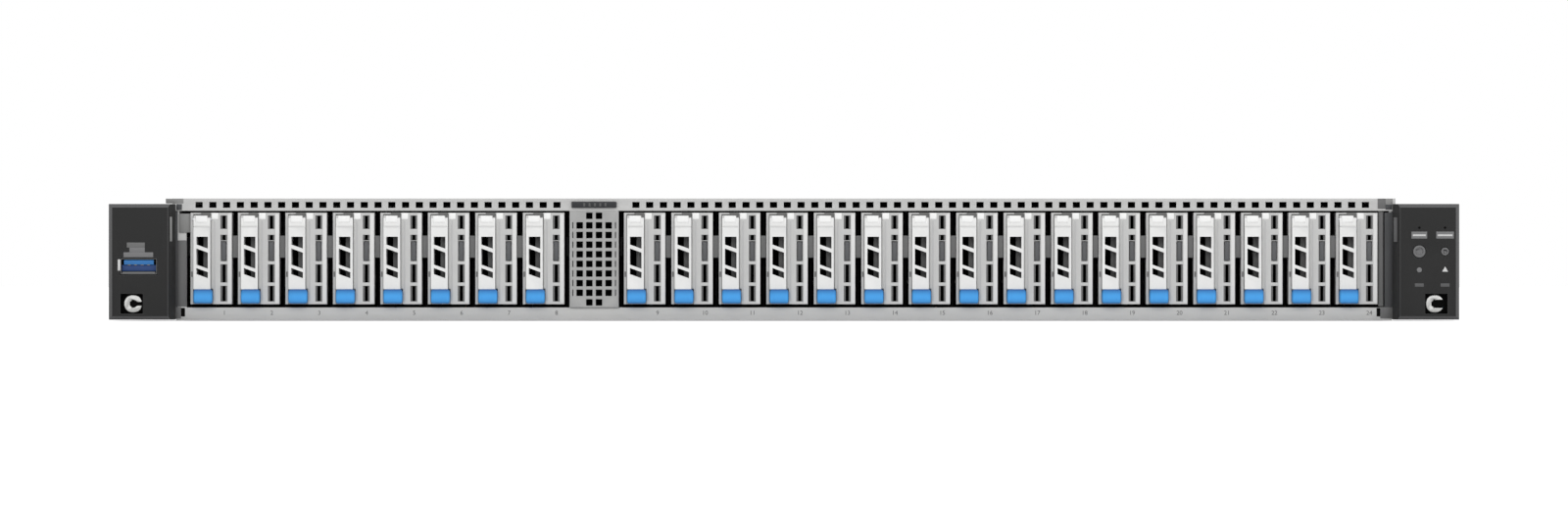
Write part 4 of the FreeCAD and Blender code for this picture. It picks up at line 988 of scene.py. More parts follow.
    def lever(self, blank: bpy.types.Object) -> list[bpy.types.Object]:
        """Refine the lever: two slanted bars, soft edges, hinge block and the blue release tab."""
        Bench.fill(blank, self.make(Slab("filler", self.openings, (-1.5, 1.9), (15, 30), "lever")))
        for low, high, upper in self.opening_levels:
            opening = self.make(Slab("opening", self.openings, (-3, 2.9), (low, high), "lever"))
            Bench.cut(blank, Bench.slant(opening, self.bar_drop, upper))
        Bench.refine(blank, self.lever_edge_radius, 3)
        Bench.dress(blank, "lever")
        Bench.paint(blank, "carrier", lambda middle, normal: middle.z > self.hinge_shade_over)
        tab = Bench.cut(self.make(self.tab), self.make(self.tab_groove))
        return [blank] + [self.make(slab) for slab in self.lever_fittings] + [tab]

    def spacers(self) -> None:
        """Set the grey stop between each pair of neighbouring drives."""
        stops = []
        for bay in range(1, self.count):
            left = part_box(self.node(bay))[1].x
            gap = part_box(self.node(bay + 1))[0].x - left
            if gap < self.neighbour_gap_under:
                sides = (0.15, gap / MM - 0.15)
                stop = Slab(f"stop_{bay}", sides, (0.5, 4), (22.4, 30.3), "slot_step", 0.1)
                stops.append(stop.make(left, self.face))
        Bench.loose_on_chassis("bay_stops", stops)

    def numbers(self) -> None:
        """Print each bay's number on the lip under its drive."""
        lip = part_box("chassis_tray")[0].y
        across, up = self.number_offset
        prints = []
        for bay in range(1, self.count + 1):
            place = (self.bay_centre(bay) + across, lip - 0.02 * MM, up)
            name = f"bay_number_{bay}"
            prints.append(Bench.number(name, str(bay), place, self.number_height, "print_grey"))
        Bench.loose_on_chassis("bay_numbers", prints)

    def build(self) -> None:
        """Build the master set and give every bay its own copy."""
        parts = self.split()
        frame_pieces = self.carrier(parts["carrier"]) + self.case(parts["case"], parts["edge"])
        fixed = Bench.join("drive_fixed", frame_pieces)
        moving = Bench.join("drive_moving", self.lever(parts["lever"]))
        for bay in range(1, self.count + 1):
            shift = (self.bay_centre(bay) - self.centre, 0, 0)
            frame_copy = Bench.copy(fixed, f"carrier_{bay:02d}", shift)
            lever_copy = Bench.copy(moving, f"lever_{bay:02d}", shift)
            name = self.node(bay)
            if bay in self.hinged:
                x, y, z = self.pin_place
                place = (self.bay_centre(bay) + x, self.face + y, z)
                pin = Bench.disc("pin", place, Axis.X, 0.55 * MM, 7.2 * MM, "steel", 0.1 * MM, 20)
                Bench.finish_node(name, f"{name}_unit", name, "drive", [frame_copy, pin])
                Bench.finish_node(f"{name}_lever", f"{name}_handle", f"{name}_lever", "lever", [lever_copy])
            else:
                Bench.finish_node(name, f"{name}_unit", name, "drive", [frame_copy, lever_copy])
        for piece in (fixed, moving):
            bpy.data.objects.remove(piece)
        self.spacers()
        self.numbers()


# ------------------------------------------------------------------ front sheet


@dataclass
class FrontSheet:
    """Perforated strip and lid over the bays, grille, tag, lip and corner pieces.

    Slabs are in millimetres. Corner pieces start at the front of the lid, lip strips at the tray's lip
    and the painted highlight strips of the ear slopes at the face of the ear.
    """

    strip_edge: float = 0.05 * MM
    grille_edge: float = 0.12 * MM
    tag_edge: float = 0.25 * MM
    # Partly painted shade: the corner blocks at the ends of the strip are pieces whose mid-grey stands for
    # shaded metal, and the dark plates below them are painted shade only.
    corners: tuple[Slab, ...] = (
        Slab("left_corner", (-221.4, -215.1), (-0.15, 3.0), (41.85, 43.55), "guide_grey", 0.1),
        Slab("left_corner_shade", (-217.6, -215.6), (-0.15, 0.3), (39.4, 41.6), "handle", 0.1),
        Slab("right_corner", (212.6, 215.4), (-0.15, 0.3), (39.9, 43.55), "divider", 0.1),
        Slab("right_corner_upper_shade", (215.4, 218.0), (-0.15, 0.3), (41.4, 43.55), "guide_grey", 0.1),
        Slab("right_corner_lower_shade", (215.4, 217.8), (-0.15, 0.3), (39.6, 41.4), "handle", 0.1),
    )
    lid_rivets: tuple[int, ...] = (-180, -60, 60, 180)
    grip_ribs: int = 5
    # Painted shade: the dark flange edges and the black lip notches stand for the shaded gaps beside the
    # outermost drives; the guides and lip ends keep their own grey.
    lip_strips: tuple[Slab, ...] = (
        Slab("left_guide_low", (-217.2, -213.9), (-0.3, 2.1), (4.9, 28.6), "divider", 0.12),
        Slab("left_flange_edge", (-218.9, -217.2), (-0.2, 2.2), (4.7, 41.2), "handle", 0.12),
        Slab("left_lip_end", (-218.9, -216.0), (-0.12, 2.28), (0.6, 4.7), "divider", 0.12),
        Slab("left_lip_notch", (-216.0, -214.6), (-0.12, 2.28), (1.3, 4.4), "void", 0.12),
        Slab("left_guide_high", (-216.7, -212.7), (-0.5, 1.9), (31.4, 38.2), "guide_grey", 0.12),
        Slab("right_guide", (212.9, 214.7), (-0.1, 2.3), (5.0, 39.4), "divider", 0.12),
        Slab("right_flange_edge", (215.1, 218.9), (-0.2, 2.2), (4.7, 38.6), "handle", 0.12),
        Slab("right_lip_end", (213.6, 218.9), (-0.12, 2.28), (0.6, 4.7), "divider", 0.12),
        Slab("right_lip_notch", (212.3, 213.6), (-0.12, 2.28), (1.3, 4.4), "void", 0.12),
    )
    # Painted highlight: pale strips on the slopes of the ears, where light catches them.
    ear_strips: tuple[Slab, ...] = (
        Slab("left_slope_highlight", (-219.45, -218.75), (1.1, 3.5), (28.2, 37.0), "guide_grey", 0.12),
        Slab("right_slope_highlight", (218.0, 219.2), (1.6, 4.0), (28.0, 36.8), "ear_edge", 0.12),
    )

    def cover(self) -> None:
        """Refine the front lid and its strip."""
        piece = Bench.node_copy("front_cover", "front_lid", "strip", self.strip_edge)
        low, high = Bench.box_of(piece)
        trims = [piece] + [slab.make(0, low.y) for slab in self.corners]
        for x in self.lid_rivets:
            trims.append(Bench.rivet(f"lid_rivet_{x}", (x * MM, high.y - 9 * MM, high.z)))
        Bench.keep_under(trims, high.z)
        Bench.finish_node("front_cover", "front_lid", "chassis", "cover", trims)

    def grille(self) -> None:
        """Refine the square-hole grille between the drive blocks, with a near-black plate of painted shade
        behind it.
        """
        piece = Bench.node_copy("front_grille", "block_grille", "grille", self.grille_edge)
        low, high = Bench.box_of(piece)
        width, height = (high.x - low.x) / MM, (high.z - low.z) / MM
        # Painted shade: a near-black plate behind the grille's holes.
        shade_plate = Slab("grille_shade_plate", (1.2, width - 1.2), (11, 11.6), (0, height), "void", 0.1).make(*low)
        Bench.finish_node("front_grille", "block_grille", "chassis", "grille", [piece, shade_plate])

    def tag(self) -> None:
        """Refine the pull-out tag: ribbed grip and a plain card with a pale panel."""
        piece = Bench.node_copy("info_tag", "pull_tag", "tag", self.tag_edge)
        low, high = Bench.box_of(piece)
        width, length, height = ((high[axis] - low[axis]) / MM for axis in range(3))
        pieces = [piece]
        whole_height = (0.5, height - 0.5)
        for rib in range(self.grip_ribs):
            left = 4.2 + rib * 1.9
            grip = Slab(f"grip_rib_{rib}", (left, left + 0.7), (-0.15, 0.3), whole_height, "shade", 0.1)
            pieces.append(grip.make(*low))
        card_top = (height / 2 + 0.45, height / 2 + 0.56)
        panel = Slab("card_panel", (2.5, width - 2.5), (8, length - 4), card_top, "latch_white", 0.03)
        Bench.finish_node("info_tag", "pull_tag", "info_tag", "tag", pieces + [panel.make(*low)])

    def side_strips(self) -> None:
        """Set the grey guide strips beside the outermost drives, with painted shade on their dark flange
        edges and lip notches and painted highlights on the pale strips of the ear slopes.
        """
        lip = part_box("chassis_tray")[0].y
        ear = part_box("left_ear_cover")[0].y
        pieces = [slab.make(0, lip) for slab in self.lip_strips]
        pieces += [slab.make(0, ear) for slab in self.ear_strips]
        Bench.loose_on_chassis("bay_side_strips", pieces)

    def build(self) -> None:
        """Build every part of the front sheet."""
        self.cover()
        self.grille()
        self.tag()
        self.side_strips()


# ------------------------------------------------------------------ ears


@dataclass
class Ear:
    """One rack ear: cover, captive screw and the signs moulded on its face.

    Slabs are in millimetres from the face of the cover and the underside of the tray; those of a screw
    or a socket are also measured from its middle.
    """

    side: int
    screw_x: float = 232.55 * MM
    screw_z: float = 5.9 * MM
    head_radius: float = 3.3 * MM
    head_length: float = 5 * MM
    recess_radius: float = 1.45 * MM
    key_half: float = 0.7
    neck_radius: float = 1.85 * MM
    thread_radius: float = 2.48 * MM
    thread_pitch: float = 0.9 * MM
    thread_length: float = 13 * MM
    edge_depth: float = 1.5 * MM
    cover_edge_radius: float = 0.22 * MM
    # Painted shade: a near-black plate at the back of the screw well.
    liner: Slab = Slab("well_shade_plate", (-4.6, 4.6), (2.2, 2.8), (1.6, 10.2), "void", 0.1)
    face: float = field(init=False)

    def __post_init__(self) -> None:
        """Read the front face from the frame."""
        self.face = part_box(self.node)[0].y

    @property
    def label(self) -> str:
        """Return left or right."""
        return "left" if self.side < 0 else "right"

    @property
    def node(self) -> str:
        """Return the cover's node name."""
        return f"{self.label}_ear_cover"

    @property
    def centre(self) -> float:
        """Return the screw's place across the rack."""
        return self.screw_x * self.side

    def on_edge(self, middle: Vector, normal: Vector) -> bool:
        """Tell whether a face belongs to the slanted band round the front."""
        return -0.9 < normal.y < -0.35 and middle.y < self.face + self.edge_depth

    def cover(self, extras: list[bpy.types.Object]) -> None:
        """Refine the cover; its broken edges get a paler band of painted highlight."""
        piece = Bench.node_copy(self.node, f"{self.label}_ear", "ear", self.cover_edge_radius, 3)
        # Painted highlight: the slanted band round the front gets the paler grey.
        Bench.paint(piece, "ear_edge", self.on_edge)
        pieces = [piece, self.liner.make(self.centre, self.face)] + extras
        Bench.finish_node(self.node, f"{self.label}_ear", "chassis", "ear", pieces)

    def bracket(self) -> None:
        """Refine the steel bracket behind the cover."""
        name = f"{self.label}_rack_bracket"
        piece = Bench.node_copy(name, name, "bracket", 0.2 * MM)
        Bench.finish_node(name, f"{self.label}_bracket", "chassis", "bracket", [piece])

    def turned(
        self, name: str, along: float, radius: float, length: float, finish: str,
        edge: float = 0.0, sides: int = 32,
    ) -> bpy.types.Object:
        """Make a round piece on the screw's axis, centred at a place along it."""
        place = (self.centre, along, self.screw_z)
        return Bench.disc(name, place, Axis.Y, radius, length, finish, edge, sides)

    def screw(self) -> None:
        """Model the captive screw: domed head with a keyed recess, neck and ridged thread."""
        name = f"{self.label}_rack_screw"
        low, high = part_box(name)
        front, back = low.y, high.y
        middle = front + self.head_length / 2
        head = self.turned("head", middle, self.head_radius, self.head_length, "screw", 0.45 * MM, 40)
        recess = self.turned("recess", front + 0.6 * MM, self.recess_radius, 3 * MM, "void", 0, 6)
        key = Slab("key", (0.2, 4), (-1, 1.6), (-self.key_half, self.key_half), "void")
        Bench.cut(head, recess)
        Bench.cut(head, key.make(self.centre, front, self.screw_z))
        fitted = self.recess_radius * 0.98
        # Painted shade: a near-black disc at the bottom of the keyed recess.
        bottom = self.turned("recess_shade", front + 2.2 * MM, fitted, 0.3 * MM, "void", 0, 6)
        middle, length = (front + back) / 2, back - front - 6 * MM
        neck = self.turned("neck", middle, self.neck_radius, length, "steel", 0.1 * MM)
        ring = self.turned("thread", back - 0.5 * MM, self.thread_radius, 0.8 * MM, "steel", 0.3 * MM, 28)
        rings = [
            Bench.copy(ring, f"thread_{turn}", (0, -turn * self.thread_pitch, 0))
            for turn in range(1, int(self.thread_length / self.thread_pitch))
        ]
        pieces = [head, bottom, neck, ring] + rings
        Bench.finish_node(name, f"{self.label}_captive_screw", name, "screw", pieces)


@dataclass
class LeftEar(Ear):
    """Left ear with its front socket."""

    side: int = -1
    socket_x: float = -230.5 * MM
    socket_z: float = 19.3 * MM
    socket_inset: float = 0.5 * MM
    pin_pitch: float = 2.3
    pin_count: int = 4
    port_signs: tuple[Slab, ...] = (
        Slab("port_sign_foot", (-5.4, 5.2), (-0.06, 0.5), (22.55, 24.3), "ear_mark", 0.05),
        Slab("port_sign_top", (-3.3, 2.2), (-0.06, 0.5), (24.3, 26.0), "ear_mark", 0.05),
        Slab("port_sign_cap", (-4.2, 2.2), (-0.06, 0.5), (26.0, 27.8), "print_grey", 0.05),
        Slab("port_light", (-7.5, -6.5), (-0.1, 0.6), (17.7, 21.8), "ear_light", 0.2),
    )
    socket_parts: tuple[Slab, ...] = (
        Slab("socket_tongue", (-5.35, 5.35), (0.3, 9), (0.55, 2.25), "usb", 0.2),
        Slab("socket_floor", (-6.1, 6.1), (1.0, 9), (-1.75, 0.5), "usb_dark", 0.15),
        Slab("socket_lip", (-5.9, 5.9), (-0.2, 4), (-2.75, -1.95), "print_grey", 0.15),
    )

    def signs(self) -> list[bpy.types.Object]:
        """Model the plain port sign and the pale light pipe beside the socket."""
        return [slab.make(self.socket_x, self.face) for slab in self.port_signs]

    def socket(self) -> None:
        """Refine the front socket: folded shield, blue tongue and contacts."""
        piece = Bench.node_copy("front_usb_socket", "front_socket", "usb_shell", 0.12 * MM)
        middle = (self.pin_count - 1) / 2
        slabs = list(self.socket_parts)
        for pin in range(self.pin_count):
            at = (pin - middle) * self.pin_pitch
            slabs.append(Slab(f"contact_{pin}", (at - 0.5, at + 0.5), (0.8, 7), (0.4, 0.6), "gold", 0.06))
        pieces = [slab.make(self.socket_x, self.face + self.socket_inset, self.socket_z) for slab in slabs]
        Bench.finish_node("front_usb_socket", "front_socket", "chassis", "socket", [piece] + pieces)

    def build(self) -> None:
        """Build the ear."""
        self.cover(self.signs())
        self.bracket()
        self.screw()
        self.socket()


@dataclass
class RightEar(Ear):
    """Right ear with two buttons, pinholes and plain signs."""

    side: int = 1
    key_half: float = 1.5
    columns: tuple[float, float] = (226.9 * MM, 236.1 * MM)
    sign_halves: tuple[float, float] = (2.8, 3.15)
    dots: tuple[tuple[float, str, int], ...] = ((0.9 * MM, "ear_mark", 24), (1.25 * MM, "ear_light", 3))
    button_radii: tuple[float, float] = (2.2 * MM, 1.4 * MM)
    pinhole_z: float = 33.1 * MM
    button_z: float = 24.6 * MM
    dot_z: float = 18.0 * MM

    def signs(self) -> list[bpy.types.Object]:
        """Model pinholes, lamp signs and the marks under the buttons."""
        y = self.face
        pieces = []
        for column, x in enumerate(self.columns):
            half = self.sign_halves[column]
            line = (0.5 - half, half - 0.5)
            hole = (x, y + 0.1 * MM, self.pinhole_z)
            # Painted shade: a near-black disc stands for the inside of each pinhole.
            pieces.append(Bench.disc(f"pinhole_{column}", hole, Axis.Y, 0.42 * MM, 0.4 * MM, "void", 0, 16))
            for slab in (
                Slab(f"lamp_sign_{column}", (-half, half), (-0.06, 0.5), (29.2, 31.7), "ear_mark", 0.05),
                Slab(f"lamp_line_{column}", line, (-0.1, 0.3), (30.1, 30.7), "ear_light", 0.05),
                Slab(f"small_sign_{column}", (-1.6, 1.6), (-0.05, 0.4), (12.0, 13.2), "ear_edge", 0.05),
            ):
                pieces.append(slab.make(x, y))
            name, place = f"lamp_dot_{column}", (x, y + 0.05 * MM, self.dot_z)
            radius, finish, sides = self.dots[column]
            pieces.append(Bench.disc(name, place, Axis.Y, radius, 0.4 * MM, finish, 0.06 * MM, sides))
        return pieces

    def buttons(self) -> None:
        """Refine the two caps: dished face in a dark ring."""
        for name, x, radius in zip(("power_button", "id_button"), self.columns, self.button_radii):
            piece = Bench.node_copy(name, f"{name}_cap", "button", 0.2 * MM, 3)
            y = Bench.box_of(piece)[0].y
            place = (x, y, self.button_z)
            dish = Bench.disc("dish", place, Axis.Y, radius * 0.62, 0.3 * MM, "button", 0, 28)
            Bench.cut(piece, dish)
            place = (x, y + 0.3 * MM, self.button_z)
            radius *= 0.6
            floor = Bench.disc("dish_floor", place, Axis.Y, radius, 0.3 * MM, "ear_mark", 0.05 * MM, 28)
            Bench.finish_node(name, f"{name}_cap", name, "button", [piece, floor])

    def build(self) -> None:
        """Build the ear."""
        self.cover(self.signs())
        self.bracket()
        self.screw()
        self.buttons()


# ------------------------------------------------------------------ inside


@dataclass
class Cooling:
    """Fan frames, rotors and the heatsinks over the processors."""

    count: int = 6
    rotor_axis_z: float = 21.2 * MM
    screw_spread: float = 16.5 * MM
    sink_over: float = 20 * MM
    spring_inset: float = 5.5 * MM
    spring_outset: float = 1.2 * MM

    def frames(self) -> None:
        """Refine the fan frames and blanking walls, with corner screws."""
        piece = Bench.node_copy("fan_frames", "fan_shrouds", "fan", 0.35 * MM)
        rear = Bench.box_of(piece)[1].y
        pieces = [piece]
        for fan in range(1, self.count + 1):
            for x in (self.centre(fan) - self.screw_spread, self.centre(fan) + self.screw_spread):
                for z in (self.rotor_axis_z - self.screw_spread, self.rotor_axis_z + self.screw_spread):
                    place = (x, rear + 0.2 * MM, z)
                    pieces.append(
                        Bench.disc("corner_screw", place, Axis.Y, 1.9 * MM, 0.9 * MM, "steel", 0.25 * MM, 16)
                    )
        Bench.finish_node("fan_frames", "fan_shrouds", "chassis", "fan", pieces)

    def centre(self, fan: int) -> float:
        """Return the middle of a fan across the rack."""
        low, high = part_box(f"fan_rotor_{fan}")
        return (low.x + high.x) / 2

    def rotors(self) -> None:
        """Refine one rotor and copy it to every fan."""
        master = Bench.node_copy("fan_rotor_1", "rotor", "rotor", 0.3 * MM)
        place = (self.centre(1), Bench.box_of(master)[0].y + 0.9 * MM, self.rotor_axis_z)
        hub_label = Bench.disc("hub_face", place, Axis.Y, 7.0 * MM, 0.4 * MM, "shade", 0.12 * MM, 32)
        whole = Bench.join("rotor_whole", [master, hub_label])
        for fan in range(1, self.count + 1):
            twin = Bench.copy(whole, f"rotor_{fan}", (self.centre(fan) - self.centre(1), 0, 0))
            Bench.finish_node(f"fan_rotor_{fan}", f"rotor_{fan}", f"fan_rotor_{fan}", "fan", [twin])
        bpy.data.objects.remove(whole)

    def sinks(self) -> None:
        """Dress the finned blocks and their sockets, with spring screws at the corners."""
        parts = dress_by_place(
            Bench.raw_copy("cpu_heatsinks", "sinks"),
            lambda low, high: "sink" if high.z > self.sink_over else "socket",
        )
        pieces = []
        for part in parts:
            low, high = Bench.box_of(part)
            pieces.append(Bench.refine(part, 0.15 * MM))
            if high.z > self.sink_over:
                for x in (low.x + self.spring_inset, high.x - self.spring_inset):
                    for y in (low.y - self.spring_outset, high.y + self.spring_outset):
                        pieces += self.spring_screw(x, y)
        Bench.finish_node("cpu_heatsinks", "processor_sinks", "chassis", "sink", pieces)

    @staticmethod
    def spring_screw(x: float, y: float) -> list[bpy.types.Object]:
        """Make a spring and the screw head over it."""
        return [
            Bench.disc("spring", (x, y, 11.5 * MM), Axis.Z, 3.0 * MM, 9 * MM, "steel", 0.3 * MM, 20),
            Bench.disc("spring_screw", (x, y, 17.0 * MM), Axis.Z, 3.9 * MM, 2.4 * MM, "screw", 0.5 * MM, 20),
        ]

    def build(self) -> None:
        """Build the cooling parts."""
        self.frames()
        self.rotors()
        self.sinks()


@dataclass
class Electronics:
    """Mainboard with small parts, memory modules, backplane and bay dividers.

    Slabs are in millimetres from the part's own middle and, for what stands on the board, its top.
    """

    board_top: float = 6.8 * MM
    standoff_top: float = 5.1 * MM
    chip_size: tuple[float, float, float] = (7.6 * MM, 1.0 * MM, 11.0 * MM)
    chip_inset: tuple[float, float] = (9 * MM, 3 * MM)
    chips_per_module: int = 9
    card_over: float = 30 * MM
    chip_places: tuple[tuple[int, int], ...] = (
        (-180, 445), (-140, 470), (-96, 452), (-20, 440), (30, 462), (96, 440), (150, 470), (190, 446),
        (-30, 500), (10, 545), (-20, 660), (20, 610),
    )
    header_places: tuple[tuple[int, int], ...] = (
        (-160, 237), (-110, 237), (110, 237), (160, 237), (-190, 500), (-60, 480),
    )
    cable_sockets: tuple[int, ...] = (-170, -110, -20, 60, 140)
    chip: Slab = Slab("chip", (-5, 5), (-5, 5), (-0.05, 1.3), "chip", 0.2)
    header: Slab = Slab("header", (-14, 14), (-3, 3), (-0.05, 6.5), "socket", 0.3)
    header_pocket: Slab = Slab("header_pocket", (-12.8, 12.8), (-1.8, 1.8), (1.5, 8), "socket")
    can_foot: Slab = Slab("foot", (-3.3, 3.3), (-3.3, 3.3), (-0.05, 0.9), "socket", 0.2)
    can_mark: Slab = Slab("mark", (-2.4, 2.4), (-1.9, -0.9), (6.9, 7.03), "blue_point", 0.02)
    module_latch: Slab = Slab("latch", (-2.1, 2.1), (-2.1, 2.1), (9, 24), "latch_white", 0.5)
    latch_reach: float = 3.4 * MM
    cable_socket: Slab = Slab("cable_socket", (-9, 9), (0, 7), (12, 20), "socket", 0.3)
    backplane_thickness: float = 1.7 * MM
    dark_guide_length: float = 30 * MM

    def board(self) -> None:
        """Dress the board and its fixed parts and add chips, capacitors and connectors."""
        piece = Bench.raw_copy("mainboard", "mainboard_whole")
        Bench.refine(piece, 0.12 * MM)
        Bench.dress(piece, "board")
        top = self.board_top
        Bench.paint(piece, "steel", lambda middle, normal: middle.z < self.standoff_top)
        Bench.paint(piece, "chip", lambda middle, normal: middle.z > top + 0.2 * MM)
        front = Bench.box_of(piece)[0].y / MM
        can_places = [(10 * column - 46, front + 14 + 150 * row) for row in range(2) for column in range(10)]
        header = Bench.cut(self.header.make(0, 0, top), self.header_pocket.make(0, 0, top))
        pieces = [piece]
        pieces += self.spread(self.capacitor(), can_places)
        pieces += self.spread(self.chip.make(0, 0, top), self.chip_places)
        pieces += self.spread(header, self.header_places)
        Bench.finish_node("mainboard", "mainboard_whole", "chassis", "board", pieces)

    @staticmethod
    def spread(master: bpy.types.Object, places: Sequence[tuple[float, float]]) -> list[bpy.types.Object]:
        """Copy a small part to places in millimetres and delete the part itself."""
        copies = [
            Bench.copy(master, f"{master.name}_{number}", (x * MM, y * MM, 0))
            for number, (x, y) in enumerate(places)
        ]
        bpy.data.objects.remove(master)
        return copies

    def capacitor(self) -> bpy.types.Object:
        """Return one polymer capacitor: can with a marked top and a foot."""
        top = self.board_top
        can = Bench.disc("can", (0, 0, top + 3.9 * MM), Axis.Z, 3.1 * MM, 6.2 * MM, "cell", 0.5 * MM, 24)
        return Bench.join("capacitor", [can, self.can_foot.make(0, 0, top), self.can_mark.make(0, 0, top)])

    def memory(self) -> None:
        """Build one module in its latched socket and copy it over the banks."""
        parts = Bench.loose_parts(Bench.raw_copy("memory_modules", "memory"))
        boxes = [Bench.box_of(part) for part in parts]
        cards = [box for box in boxes if box[1].z > self.card_over]
        socket_part = next(part for part, box in zip(parts, boxes) if box[1].z < self.card_over)
        socket_x = sum(corner.x for corner in Bench.box_of(socket_part)) / 2
        low, high = min(cards, key=lambda box: box[0].x)
        centre = (low.x + high.x) / 2
        socket = Bench.copy(socket_part, "module_socket", (centre - socket_x, 0, 0))
        Bench.refine(socket, 0.25 * MM)
        Bench.dress(socket, "socket")
        width, length = (high.x - low.x) / MM, (high.y - low.y) / MM
        fingers = Slab("card_fingers", (-0.03, width + 0.03), (2, length - 2), (0, 3), "gold", 0.02)
        pieces = [socket, Bench.block("module_card", low, high, "stick", 0.1 * MM), fingers.make(*low)]
        wide, thick, tall = self.chip_size
        end_inset, top_inset = self.chip_inset
        first, last, top = low.y + end_inset, high.y - end_inset, high.z - top_inset
        for index in range(self.chips_per_module):
            y = first + index * (last - first) / (self.chips_per_module - 1)
            near, far = (low.x - thick, y - wide / 2, top - tall), (high.x + thick, y + wide / 2, top)
            pieces.append(Bench.block(f"memory_chip_{index}", near, far, "chip", 0.12 * MM))
        for y in (low.y - self.latch_reach, high.y + self.latch_reach):
            pieces.append(self.module_latch.make(centre, y))
        module = Bench.join("module", pieces)
        copies = [
            Bench.copy(module, "module_copy", ((near.x + far.x) / 2 - centre, 0, 0)) for near, far in cards
        ]
        for part in parts + [module]:
            bpy.data.objects.remove(part)
        Bench.finish_node("memory_modules", "memory_banks", "chassis", "board", copies)

    def backplane(self) -> None:
        """Dress the backplane: board with black drive sockets."""
        piece = Bench.node_copy("backplane", "drive_backplane", "board", 0.12 * MM)
        rear = Bench.box_of(piece)[1].y
        Bench.paint(piece, "socket", lambda middle, normal: middle.y < rear - self.backplane_thickness)
        sockets = self.spread(self.cable_socket.make(0, rear), [(x, 0) for x in self.cable_sockets])
        Bench.finish_node("backplane", "drive_backplane", "chassis", "board", [piece] + sockets)

    def guides(self) -> None:
        """Dress the plates between the bays, with painted shade: near-black towards the front, where the gaps
        between the drives lie in shadow.
        """
        piece = Bench.node_copy("bay_dividers", "bay_guides", "divider", 0.1 * MM)
        dark_end = Bench.box_of(piece)[0].y + self.dark_guide_length
        Bench.paint(piece, "divider_edge", lambda middle, normal: middle.y < dark_end)
        Bench.finish_node("bay_dividers", "bay_guides", "chassis", "galvanised", [piece])

    def build(self) -> None:
        """Build the electronics."""
        self.board()
        self.memory()
        self.backplane()
        self.guides()


# ------------------------------------------------------------------ rear


